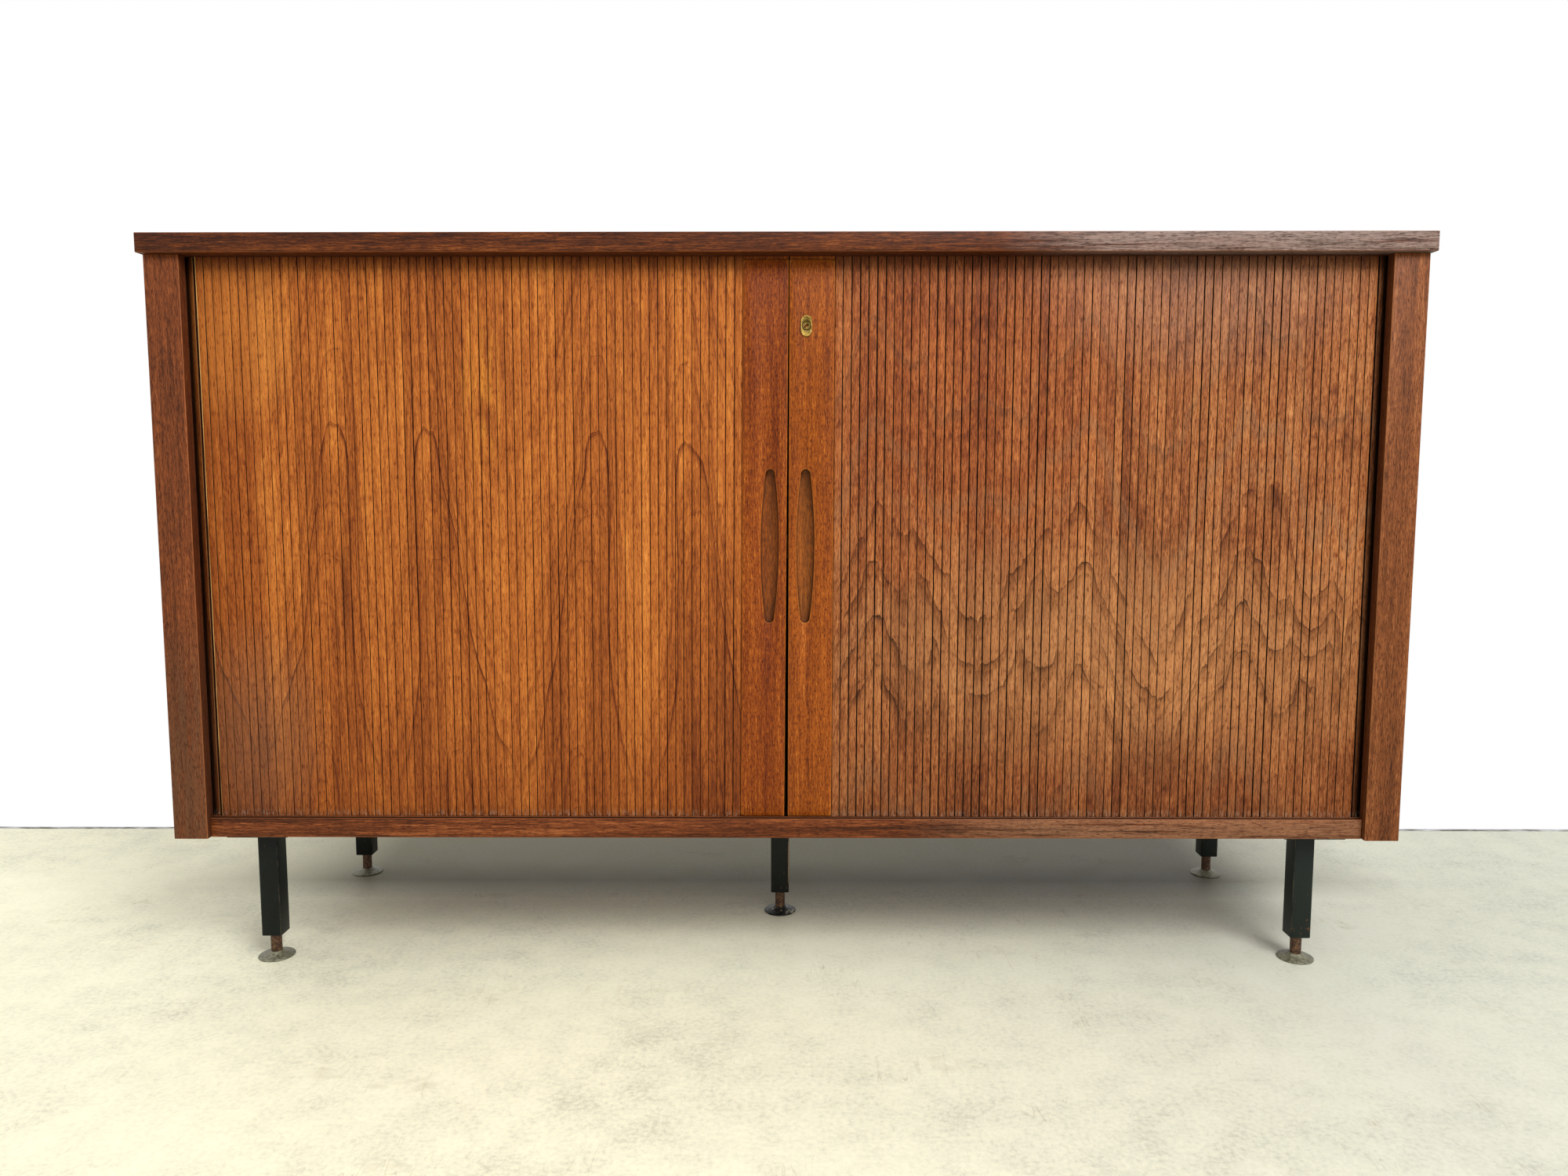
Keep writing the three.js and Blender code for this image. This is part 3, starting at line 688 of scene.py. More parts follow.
def plain_wood(tree, colours, size, streak, dashes, shade_and_grime_paint, greyed_patch=None):
    """Straight-grained wood: bands and fibres along the grain, dark pores, arrises painted lighter as wear
    and highlight, and painted shade with some grime where tagged.

    A greyed patch is painted over the front face: its middle and reach in X and Z, and its colour. On the top
    and the rail it is a painted reflection; on the left post it is a darker foot.
    """
    place, across, deep, up = located(tree)
    short = size * dashes
    broad = speck(tree, place, 45 * size, 2, 0.5, 8)
    band = speck(tree, place, 14 * size, 3, 0.6)
    thread = speck(tree, place, 4 * size, 3, 0.6, 12)
    fibre = speck(tree, place, 1.4 * size, 4, 0.75, 3)
    fleck = speck(tree, place, 2 * short, 3, 0.7, 9)
    streaks = ((broad, 0.4 * streak), (band, 0.6 * streak), (thread, 0.7 * streak))
    mixture = blended(tree, *streaks, (fibre, 0.7), (fleck, 1.1))
    colour = add(tree, "ValToRGB", (mixture,), tuple(zip(BROWN_PLACES, colours)))
    layers = []
    if greyed_patch:
        # Painted over the front face: a painted reflection on the top and the rail, a darker foot on the left
        # post
        centre, half, patch_colour = greyed_patch
        broken = product(tree, (thread, 0.3, 0.55, 0, 1.6))
        spot = patch(tree, across, up, centre, half)
        veil = add(tree, "Math", (spot, broken), operation="MULTIPLY", use_clamp=True)
        front = (deep, -0.19, -0.206)
        layers.append((PAINT, patch_colour, veil, (fleck, 0.38, 0.52, 0.3), front, 0.72))
    dots = speck(tree, place, short, 2, 0.5, 5)
    pore = add(tree, "ValToRGB", (dots,), ((0.34, 1), (0.46, 0)))
    wear, hollow = tagged(tree, "wear", "hollow")
    # Arrises painted lighter, partly rubbed wear and partly a painted highlight; tagged points painted dark,
    # as painted shade with some grime
    layers += [(STAIN, "#8E705C", pore), (PAINT, colours[-1], wear, 0.5), (PAINT, shade_and_grime_paint, hollow)]
    return oiled(tree, layered(tree, colour, layers), fleck)


def enamel(tree):
    """Black-green stove enamel on steel tube: rubbed to dull metal on the arrises, chipped low down, and
    painted lighter towards the right as painted light.
    """
    place, across, _, up = located(tree)
    mottle = speck(tree, place, (0.012, 0.012, 0.03), 4, 0.6)
    chips = speck(tree, place, (0.004, 0.004, 0.006), 4, 0.7, 2)
    colour = add(tree, "ValToRGB", (mottle,), ((0.3, "#020504"), (0.55, "#050C0A"), (0.75, "#0C1512")))
    near_foot = product(tree, (up, 0.1, 0.033))
    chance = summed(tree, chips, (near_foot, 0.05))
    chipped = add(tree, "ValToRGB", (chance,), ((0.68, 0), (0.71, 1)))
    (wear,) = tagged(tree, "wear")
    rubbed_and_highlight = add(tree, "ValToRGB", (mottle,), ((0.46, 0), (0.6, 0.6)))
    flaking = product(tree, patch(tree, across, up, (0.005, 0.08), (0.008, 0.045)), chips, wear)
    flaked = add(tree, "Math", (flaking, 0.16), operation="GREATER_THAN")
    # Painted light: the enamel is painted lighter towards the right, where the light falls
    painted_light_to_right = (across, -0.2, 0.7, 0, 0.6)
    layers = [(PAINT, "#1E2521", painted_light_to_right), (PAINT, "#6E4426", chipped)]
    layers += [(PAINT, "#5C5442", wear, rubbed_and_highlight), (PAINT, "#B48E62", flaked)]
    bump = add(tree, "Bump", {"Height": mottle, "Strength": 0.3, "Distance": 0.0002})
    gloss = product(tree, (mottle, 0, 1, 0.34, 0.55))
    parts = {"Base Color": layered(tree, colour, layers), "Roughness": gloss, "Normal": bump}
    return add(tree, "BsdfPrincipled", {**parts, "Specular IOR Level": 0.2})


def corroded(tree, colours, metallic, size, places=(0.3, 0.5, 0.7)):
    """Old plated steel: stained and pitted, so neither its colour nor its gloss is even."""
    place = located(tree)[0]
    stain = speck(tree, place, (size * 6, size * 6, size * 6), 4, 0.6)
    pits = speck(tree, place, (size, size, size), 3, 0.6, 2)
    colour = add(tree, "ValToRGB", (stain,), tuple(zip(places, colours)))
    pit = add(tree, "ValToRGB", (pits,), ((0.32, 1), (0.42, 0)))
    # Tagged hollows of the lock are painted near black: painted shade
    (hollow,) = tagged(tree, "hollow")
    pitted = layered(tree, colour, [(STAIN, "#7A6E5C", pit), (PAINT, "#0A0806", hollow)])
    bump = add(tree, "Bump", {"Height": pits, "Strength": 0.6, "Distance": 0.0003})
    gloss = product(tree, (stain, 0, 1, 0.35, 0.65))
    parts = {"Base Color": pitted, "Metallic": metallic, "Roughness": gloss, "Normal": bump}
    return add(tree, "BsdfPrincipled", parts)


def canvas(tree):
    """Brown linen canvas: two sets of threads about 0.9 mm apart, drawn as crossing waves."""
    parts = {"Vector": located(tree)[0], "Scale": 180}
    threads = [add(tree, "TexWave", parts, bands_direction=direction) for direction in "XZ"]
    weave = product(tree, *threads)
    colour = add(tree, "ValToRGB", (weave,), ((0, "#2A1C14"), (1, "#5A4332")))
    bump = add(tree, "Bump", {"Height": weave, "Strength": 0.6, "Distance": 0.0003})
    return add(tree, "BsdfPrincipled", {"Base Color": colour, "Roughness": 0.9, "Normal": bump})


UPRIGHT = np.array((0.001, 0.001, 0.03))
SIDEWAYS = np.array((0.03, 0.001, 0.001))
TOP_BROWNS = ("#200D06", "#3A1A0B", "#502610", "#683414", "#905024")
# Greyed patches on the front faces: painted reflections on the top and the rail, and a darker foot on the
# left post
TOP_PAINTED_REFLECTION = ((0.6, 0.94), (0.34, 0.06), "#94827A")
RAIL_BROWNS = ("#2C1206", "#4A220C", "#5E2E12", "#763C1C", "#9A5A30")
RAIL_PAINTED_SHEEN = ((0.6, 0.2), (0.45, 0.1), "#8C6448")
LEFT_POST_BROWNS = ("#44200E", "#643419", "#783E1F", "#874924", "#A66438")
LEFT_POST_GREY_FOOT = ((-0.78, 0.2), (0.2, 0.28), "#553C2A")
RIGHT_POST_BROWNS = ("#42200D", "#623619", "#764120", "#864E29", "#A26A40")
LEFT_STILE_BROWNS = ("#3A1402", "#662806", "#803A09", "#964A10", "#C47428")
RIGHT_STILE_BROWNS = ("#481B03", "#743408", "#90470D", "#A45616", "#CE8236")
PANEL_BROWNS = ("#4A2411", "#663619", "#774220", "#874E28", "#A46A3A")
LINING_BROWNS = ("#8C6238", "#A97C4C", "#B88B5A", "#C49A69", "#D4AE80")
BOARD_BROWNS = ("#6B5138", "#7F6347", "#8A6D50", "#96795A", "#A88C6C")
DARK = "#34160C"
POST_DASHES = (0.6, 0.6, 0.2)
STILE_DASHES = (0.75, 0.75, 0.16)
LONG_DASHES = (0.25, 0.6, 0.6)
CHIP_PLACES = (0.3, 0.57, 0.62)
CHIP_COLOURS = ("#0B0B09", "#171612", "#A8A28A")

# A wood's browns, its grain's size, how streaky it is, its pores' size, the dark colour of its painted shade
# and grime, and a greyed patch on some
PLAIN_WOODS = {
    # The darkest wood, with a fine sideways grain and a painted reflection greying its right end
    "oiled_walnut_top": (TOP_BROWNS, SIDEWAYS, 0.8, LONG_DASHES, DARK, TOP_PAINTED_REFLECTION),
    # Dark and streaky, with long light threads and a painted sheen greying its right end
    "oiled_walnut_rail": (RAIL_BROWNS, SIDEWAYS, 1.1, LONG_DASHES, "#140804", RAIL_PAINTED_SHEEN),
    # A red-brown upright with a greyish foot
    "oiled_walnut_post_left": (LEFT_POST_BROWNS, UPRIGHT, 0.9, POST_DASHES, DARK, LEFT_POST_GREY_FOOT),
    # The same wood, a little less red and calmer
    "oiled_walnut_post_right": (RIGHT_POST_BROWNS, UPRIGHT, 0.7, POST_DASHES, DARK),
    # Warm and even, with short dark pores: the reddest wood of the front
    "oiled_teak_left": (LEFT_STILE_BROWNS, UPRIGHT, 0.6, STILE_DASHES, "#3A2618"),
    # As the left one, but lighter and more orange
    "oiled_teak_right": (RIGHT_STILE_BROWNS, UPRIGHT, 0.6, STILE_DASHES, "#402A18"),
    # Plain sides with broad soft bands
    "oiled_walnut_side": (PANEL_BROWNS, UPRIGHT, 1.2, POST_DASHES, DARK),
    # A pale straw inside that an open door shows
    "birch_lining": (LINING_BROWNS, UPRIGHT, 0.8, (0.4, 0.4, 0.2), DARK),
    # The same birch with its grain along the shelf
    "birch_shelf": (LINING_BROWNS, SIDEWAYS, 0.8, (0.2, 0.4, 0.4), DARK),
    # A dull grey-brown back without warmth
    "stained_plywood_back": (BOARD_BROWNS, UPRIGHT, 1.0, (0.5, 0.5, 0.3), DARK),
}
woods = {name: material(name, plain_wood, *values) for name, values in PLAIN_WOODS.items()}

# Ochre and orange stripes with dark arches, nearly matt
left_slat_veneer = material("oiled_walnut_veneer_left", left_veneer)
# Redder and smokier, with black ink lines hung in bowls
right_slat_veneer = material("oiled_walnut_veneer_right", right_veneer)
# A dark woven ground in the slits between the slats
slat_canvas = material("brown_linen_canvas", canvas)
# Nearly black with a green cast, and rust or metal where it has gone
leg_enamel = material("black_green_stove_enamel", enamel)
# Dull grey metal on the screws and the hidden half of the lock
steel = material("raw_mild_steel", corroded, ("#4C4842", "#6A655D", "#86807A"), 0.9, 0.0008)
# Yellowish grey plating, hardly a metal any more
foot_plating = material("dull_zinc_plate", corroded, ("#484534", "#706E58", "#929078"), 0.2, 0.0007)
# Red-brown thread, rough and half dark
stem_rust = material("rusty_threaded_steel", corroded, ("#2A1C14", "#523828", "#80603E"), 0.5, 0.0006)
# Black paint that has come off in sharp pale chips
foot_enamel = material("chipped_black_enamel", corroded, CHIP_COLOURS, 0.1, 0.0012, CHIP_PLACES)
# Brown-gold metal with a soft gleam on its rim
brass = material("tarnished_brass", corroded, ("#6A5426", "#A88A46", "#CDB06A"), 1, 0.0005)

# Carcass boards, each in its imported node's own box

# How dark a post's inner face is painted: painted shade in the gap beside the curtain
POST_PAINTED_SHADE = 0.55


def dress_board(name, node, surface, arris=BOARD_ARRIS, dark_side=0):
    """A board in its node's box, with rounded arrises, and painted shade on the side that looks into the
    cabinet.
    """
    low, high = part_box(node)
    board = slab(low, high, arris)
    if dark_side:
        inner = low[0] if dark_side > 0 else high[0]
        board["tags"]["hollow"] = POST_PAINTED_SHADE * (np.abs(board["points"][:, 0] - inner) < SAME_PLACE)
    piece(name, [board], [surface], "carcass", node)


TRACK_HALF = 0.0043
TRACK_RADIUS = 0.028
TRACK_LOW_Y = -0.1635
TRACK_HIGH_Y = 0.179
TRACK_DEPTH = 0.008
TRACK_STEPS = 6
TOP_ARRIS = 0.0009
BASE_ARRIS = 0.0006
LIPPING_JOINT = 0.0009
LIPPING_BACK = -0.1987
LIPPING_HALF = 0.7517
# How far the painted shade reaches onto the board beyond the groove's inner wall
TRACK_SHADE_MARGIN = 0.002


def tracked_board(low, high, track_face, arris):
    """A board with the curtains' groove: up the outside, over, down the groove and up its inner wall."""
    low, high = np.array(low), np.array(high)
    half, centre = (high - low) / 2, (high + low) / 2
    up = 1 if track_face > centre[2] else -1
    far = low[2] if up > 0 else high[2]
    top = abs(track_face - far)
    floor = top - TRACK_DEPTH
    outside = eased(half[0], half[1], 0, top, arris)
    middle_y = (TRACK_LOW_Y + TRACK_HIGH_Y) / 2
    half_y = (TRACK_HIGH_Y - TRACK_LOW_Y) / 2
    radii = (TRACK_RADIUS + TRACK_HALF, TRACK_RADIUS - TRACK_HALF)
    outer, inner = [(ARC_X + radius, half_y + radius, radius) for radius in radii]
    lip = [size - TRACK_SHADE_MARGIN for size in inner]
    track = [(*outer, top, 0), (*outer, floor, 0), (*inner, floor, 0), (*inner, top, 0), (*lip, top, 0)]
    points, faces, wear = rings(outside + track, steps=TRACK_STEPS)
    split = len(outside) * 4 * (TRACK_STEPS + 1)
    points[:split, 1] += centre[1]
    points[split:, 1] += middle_y
    points[:, 0] += centre[0]
    points[:, 2] = far + up * points[:, 2]
    wear[split:] = 0
    # The groove and a thin strip beside it are painted dark: painted shade
    hollow = np.zeros(len(wear))
    hollow[split : -4 * (TRACK_STEPS + 1)] = 1
    return shell(points, faces, wear=wear, hollow=hollow)


def carcass_boards():
    """Every board of the carcass, and the lipping along the front of the bottom panel."""
    low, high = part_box("top_panel")
    top = tracked_board(low, high, low[2], TOP_ARRIS)
    piece("top_board", [top], [woods["oiled_walnut_top"]], "carcass", "top_panel")
    low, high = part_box("bottom_panel")
    base = tracked_board((low[0], LIPPING_BACK, low[2]), high, high[2], BASE_ARRIS)
    corner = (LIPPING_HALF, LIPPING_BACK - LIPPING_JOINT, high[2])
    nose = slab((-LIPPING_HALF, low[1], low[2]), corner, EDGE_ARRIS)
    # The lipping's top, the ledge under the doors, is painted dark: painted shade, with some dirt
    nose["tags"]["hollow"] = np.abs(nose["points"][:, 2] - high[2]) < SAME_PLACE
    piece("bottom_board", [base, nose], [woods["oiled_walnut_rail"]], "carcass", "bottom_panel")
    side_wood, lining, shelf = [woods[kind] for kind in ("oiled_walnut_side", "birch_lining", "birch_shelf")]
    for side, door in DOORS.items():
        post_wood = woods[f"oiled_walnut_post_{side}"]
        dress_board(f"{side}_front_post", f"{side}_post", post_wood, EDGE_ARRIS, door["side"])
        dress_board(f"{side}_side_board", f"{side}_side_panel", side_wood)
        dress_board(f"{side}_lining", f"{side}_false_side", lining)
        dress_board(f"{side}_shelf_board", f"{side}_shelf", shelf)
        for end in ("inner", "outer"):
            node = f"{side}_shelf_batten_{end}"
            dress_board(f"{side}_batten_{end}", node, shelf, EDGE_ARRIS)
    dress_board("rear_lining", "false_back", lining, PANEL_ARRIS)
    dress_board("divider_board", "centre_divider", lining)


SCREW_RADIUS = 0.0036
SCREW_DOME = 0.0005
SCREW_INSET = 0.012
SCREW_COLUMNS = 7
SCREW_HEIGHTS = (0.37, 0.556, 0.74)


def back_board():
    """The back panel, with domed screws along its edges and over the shelves' line."""
    low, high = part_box("back_panel")
    face = high[1] - SCREW_DOME
    sides = (low[0] + SCREW_INSET, high[0] - SCREW_INSET)
    edges = (low[2] + SCREW_INSET, high[2] - SCREW_INSET)
    spots = [(x, z) for x in np.linspace(*sides, SCREW_COLUMNS) for z in edges]
    spots += [(x, z) for x in sides for z in SCREW_HEIGHTS]
    profile = ((1, -0.001), (1, 0), (0.7, 0.7 * SCREW_DOME), (0.3, 0.95 * SCREW_DOME))
    dome = [(share * SCREW_RADIUS, face + out) for share, out in profile]
    shells = [slab(low, (high[0], face, high[2]), PANEL_ARRIS)]
    shells += [lathe(dome, spot, 1, axis=1, steps=2) for spot in spots]
    surfaces = [woods["stained_plywood_back"], steel]
    piece("back_board", shells, surfaces, "carcass", "back_panel")


carcass_boards()
back_board()

# Tambour curtains


def flat_run(door):
    """How many slats fill the flat run from the stile to the corner, and how far apart they are."""
    length = ARC_X - door["edge"]
    count = round(length / SLAT_PITCH)
    return count, length / count


def lean_at(door, outwards, height):
    """How far a door's point stands outwards of plumb: nothing at the top or at the corner."""
    across = np.minimum(1, (ARC_X - outwards) / (ARC_X - door["edge"]))
    return door["lean"] * across * (SLAT_HIGH - height) / (SLAT_HIGH - SLAT_LOW)


def curtain_at(door, distance):
    """The curtain's back face at a distance from the stile: flat, then round the corner, then back."""
    turned = np.clip((distance - (ARC_X - door["edge"])) / CURTAIN_RADIUS, 0, QUARTER)
    past = np.maximum(distance - (ARC_X - door["edge"]) - QUARTER * CURTAIN_RADIUS, 0)
    flat = np.minimum(door["edge"] + distance, ARC_X)
    x = flat + CURTAIN_RADIUS * np.sin(turned)
    y = ARC_Y - CURTAIN_RADIUS * np.cos(turned) + past
    return x, y, turned


def slat_profile(half):
    """The outline of a slat from back to back: side, quarter-round arris, crowned face, and so down again."""
    angle = np.linspace(0, QUARTER, 3)
    across = np.concatenate([[0], SLAT_ARRIS * (1 - np.cos(angle))])
    out = np.concatenate([[CANVAS_THICK], SLAT_THICK - SLAT_CROWN - SLAT_ARRIS * (1 - np.sin(angle))])
    left = np.stack([across[:, None] - half, np.broadcast_to(out[:, None], (4, len(half)))])
    middle = np.stack([np.zeros((1, len(half))), np.full((1, len(half)), SLAT_THICK)])
    right = left[:, ::-1] * np.array([-1, 1])[:, None, None]
    return np.concatenate([left, middle, right], axis=1)


# Round a slat's outline: how much it is painted lighter on the arrises, as wear and highlight, and darker on
# its sides, as painted shade in the slits
SLAT_WEAR_AND_HIGHLIGHT = np.array([0, 0, 1, 0, 0, 0, 1, 0, 0])
SLAT_SHADE = np.array([1, 0.95, 0.3, 0, 0, 0, 0.3, 0.95, 1])


def slats(door, first, count, random):
    """Neighbouring slats: each one's outline carried up its height, with wandering slits and varied tones."""
    pitch = flat_run(door)[1]
    height = np.linspace(SLAT_LOW, SLAT_HIGH, SLAT_ROWS)
    wear, hollow = np.tile(SLAT_WEAR_AND_HIGHLIGHT, SLAT_ROWS), np.tile(SLAT_SHADE, SLAT_ROWS)
    shells = []
    for index in range(first, first + count):
        slit = door["slit"] * random.uniform(*SLIT_RANGE)
        wave = random.uniform(*WANDER_RANGE)
        wander = SLIT_WANDER * np.sin(height * wave + random.uniform(0, math.tau))
        across, out = slat_profile((pitch - slit) / 2 + wander)
        shift = random.uniform(-SLAT_SHIFT, SLAT_SHIFT)
        tone = np.full(len(wear), random.normal(*TONE_SPREAD))
        middle_x, middle_y, angle = curtain_at(door, (index + 0.5) * pitch)
        x = middle_x + (across + shift) * np.cos(angle) + out * np.sin(angle)
        y = middle_y + (across + shift) * np.sin(angle) - out * np.cos(angle)
        z = np.broadcast_to(height, x.shape)
        flat_x = door["edge"] + (index + 0.5) * pitch + across
        leaned = (door["side"] * (x + lean_at(door, x, z)), y, z)
        plain = (door["side"] * flat_x, -out, z)
        grids = [np.stack(place, axis=-1).transpose(1, 0, 2).reshape(-1, 3) for place in (leaned, plain)]
        tags = {"wear": wear, "hollow": hollow, "tone": tone, "grain": grids[1]}
        shells.append(shell(grids[0], wound(SLAT_ROWS, len(SLAT_WEAR_AND_HIGHLIGHT)), 0, True, **tags))
    return shells


def canvas_strip(door, first, count, steps):
    """The canvas behind the slats: its front and back lines carried up the curtain's height."""
    pitch = flat_run(door)[1]
    along = np.linspace(first * pitch, (first + count) * pitch, steps)
    x, y, angle = curtain_at(door, along)
    outline = []
    for out, order in ((CANVAS_THICK, slice(None)), (0, slice(None, None, -1))):
        line = np.stack([x + out * np.sin(angle), y - out * np.cos(angle)], axis=-1)
        outline.append(line[order])
    plan = np.concatenate(outline)
    levels = []
    for height in np.linspace(SLAT_LOW, SLAT_HIGH, CANVAS_ROWS):
        leaned = plan[:, 0] + lean_at(door, plan[:, 0], height)
        levels.append(np.stack([door["side"] * leaned, plan[:, 1], np.full(len(plan), height)], axis=-1))
    return shell(np.concatenate(levels), wound(CANVAS_ROWS, len(plan)), 1)


def curtain(name, door, surface):
    """Seven groups of slats that slide and close up as the door opens, and the slats in the corner."""
    random = np.random.default_rng(len(name))
    count, pitch = flat_run(door)
    surfaces = [surface, slat_canvas]
    bounds = [math.floor(group * count / GROUPS + 0.5) for group in range(GROUPS + 1)]
    for group, (first, following) in enumerate(zip(bounds, bounds[1:])):
        shells = slats(door, first, following - first, random)
        shells.append(canvas_strip(door, first, following - first, 2))
        number = group + 1
        node = f"{name}_slats_{number}"
        body = f"{name}_curtain_{number}"
        made = piece(f"{name}_tambour_{number}", shells, surfaces, body, node)
        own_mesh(made)
    shells = slats(door, count, CORNER_SLATS, random)
    shells.append(canvas_strip(door, count, CORNER_SLATS, CORNER_STEPS))
    piece(f"{name}_tambour_corner", shells, surfaces, "carcass", f"{name}_corner_slats")


curtain("left", DOORS["left"], left_slat_veneer)
curtain("right", DOORS["right"], right_slat_veneer)

# Stiles with finger pulls


def lens_radius(angle, grown):
    """Distance from a finger pull's middle to its edge: two long shallow arcs with round ends."""
    cos, sin = np.abs(np.cos(angle)), np.abs(np.sin(angle))
    end = PULL_END + grown
    side = (PULL_REACH**2 + PULL_BULGE**2) / (2 * PULL_BULGE)
    offset = end + PULL_BULGE - side
    to_side = cos * offset + np.sqrt(cos**2 * offset**2 + side**2 - offset**2)
    inside = np.maximum((sin * PULL_REACH) ** 2 - PULL_REACH**2 + end**2, 0)
    to_end = sin * PULL_REACH + np.sqrt(inside)
    return np.where(cos * PULL_REACH <= sin * end, to_end, to_side)


def lens_angles():
    """Directions from the pull's middle that space its edge evenly along the sides and round the ends."""
    side = (PULL_REACH**2 + PULL_BULGE**2) / (2 * PULL_BULGE)
    up = np.linspace(-PULL_REACH, PULL_REACH, PULL_SIDE_STEPS)
    out = PULL_END + PULL_BULGE - side + np.sqrt(side**2 - up**2)
    turn = np.linspace(0, math.pi, PULL_END_STEPS)[1:-1]
    end_out, end_up = PULL_END * np.cos(turn), PULL_REACH + PULL_END * np.sin(turn)
    half = np.concatenate([np.arctan2(up, out), np.arctan2(end_up, end_out)])
    return np.concatenate([half, half + math.pi])


def frame_radius(angle, left, right, low, high):
    """Distance from the pull's middle to the stile's straight edges."""
    cos, sin = np.cos(angle), np.sin(angle)
    across = np.where(cos > 0, right, -left) / np.maximum(np.abs(cos), 1e-9)
    up = np.where(sin > 0, high, -low) / np.maximum(np.abs(sin), 1e-9)
    return np.minimum(across, up)


def stile(name, door):
    """A stile: rings in X and Z from the pull's floor, over its lip and the front, round to the back."""
    side = door["side"]
    left, right = sorted((side * door["edge"], side * (door["edge"] - STILE_WIDTH)))
    middle = side * door["pull"]
    spans = (left - middle, right - middle, STILE_LOW - PULL_HEIGHT, STILE_HIGH - PULL_HEIGHT)
    corners = [math.atan2(up, out) for up in spans[2:] for out in spans[:2]]
    angle = np.unique(np.round(np.mod(np.concatenate([lens_angles(), corners]), math.tau), 6))
    rows = []
    for grown, depth, worn, deep in PULL_RINGS:
        rows.append((lens_radius(angle, grown), STILE_FRONT + depth, worn, deep))
    bend = [(share * STILE_ARRIS, depth * STILE_ARRIS, worn) for share, depth, worn in STILE_BEND]
    outside = [(inset, STILE_FRONT + depth, worn) for inset, depth, worn in bend]
    outside += [(inset, STILE_BACK - depth, worn) for inset, depth, worn in bend[::-1]]
    for inset, y, worn in outside:
        shrunk = (spans[0] + inset, spans[1] - inset, spans[2] + inset, spans[3] - inset)
        rows.append((frame_radius(angle, *shrunk), y, worn, 0))
    grids = []
    for radius, y, _, _ in rows:
        z = PULL_HEIGHT + radius * np.sin(angle)
        x = middle + radius * np.cos(angle)
        grids.append(np.stack([x + side * lean_at(door, side * x, z), np.full(len(angle), y), z], axis=-1))
    wear, hollow = [np.repeat([row[place] for row in rows], len(angle)) for place in (2, 3)]
    to_end = np.clip(np.abs(lens_radius(angle, 0) * np.sin(angle)) / PULL_REACH, 0, 1) ** 3
    # The pull's walls get painted shade; its floor darkens towards its rough ends
    shade_and_grime_paint = PULL_WALL_SHADE * hollow
    shade_and_grime_paint[: len(angle)] = FLOOR_GRIME * to_end
    shells = [shell(np.concatenate(grids), wound(len(rows), len(angle)), wear=wear, hollow=shade_and_grime_paint)]
    for low, high in ((SLAT_LOW, STILE_LOW + TONGUE_ROOT), (STILE_HIGH - TONGUE_ROOT, SLAT_HIGH)):
        corner = (right - TONGUE_GAP, TONGUE_BACK, high)
        tongue = slab((left + TONGUE_GAP, TONGUE_FRONT, low), corner, TONGUE_ARRIS)
        points = tongue["points"]
        points[:, 0] += side * lean_at(door, side * points[:, 0], points[:, 2])
        shells.append(tongue)
    wood = woods[f"oiled_teak_{name}"]
    piece(f"{name}_door_stile", shells, [wood], f"{name}_door", f"{name}_stile")


for door_name, door_values in DOORS.items():
    stile(door_name, door_values)

# Lock

ESCUTCHEON_FRONT = -0.1999
ESCUTCHEON_BACK = -0.1983
ESCUTCHEON_HALF = (0.00715, 0.0135)
ESCUTCHEON_HOLE = 0.0052
# The last number of each lock ring is how much painted shade it gets: near black in the hole, the key slot,
# the groove round the plug and the escutcheon's edge
ESCUTCHEON_MOUTH = ((0.0004, 0.0002, 0.7), (0, 0.0006, 1))
ESCUTCHEON_RIM = ((0, 0.0008, 0.9), (0.0002, 0.0003, 0.2), (0.0007, 0, 0), (0.0014, 0.0002, 0))
PLUG_FRONT = -0.2005
PLUG_BACK = -0.1682
PLUG_RADIUS = 0.0049
PLUG_RINGS = (
    (PLUG_RADIUS, PLUG_RADIUS, 0.0005, 1),
    (0.0045, 0.0045, 0, 0.2),
    (0.004, 0.004, 0, 0.1),
    (0.0038, 0.0038, 0.0006, 1),
    (0.0034, 0.0034, 0.0006, 1),
    (0.0032, 0.0032, 0.0001, 0.1),
    (0.0013, 0.003, 0.0001, 0.6),
    (0.0013, 0.003, 0.004, 1),
)
KEY_TURN = -0.9
CASE_FRONT = -0.1757
CASE_ARRIS = 0.0008


def ovals(rows, turn=0, pierced=False):
    """A form of upright ovals with straight sides: half its width and height, its Y and how much painted
    shade it gets.
    """
    levels = [(width, height, width, y, 0) for width, height, y, _ in rows]
    points, faces, _ = rings(levels, (LOCK_X, LOCK_Z), 1, CIRCLE_STEPS, turn)
    around = 4 * (CIRCLE_STEPS + 1)
    if pierced:
        faces = faces[:-2] + joined_ends(len(rows), around)
    return shell(points, faces, rounded=True, hollow=np.repeat([row[3] for row in rows], around))


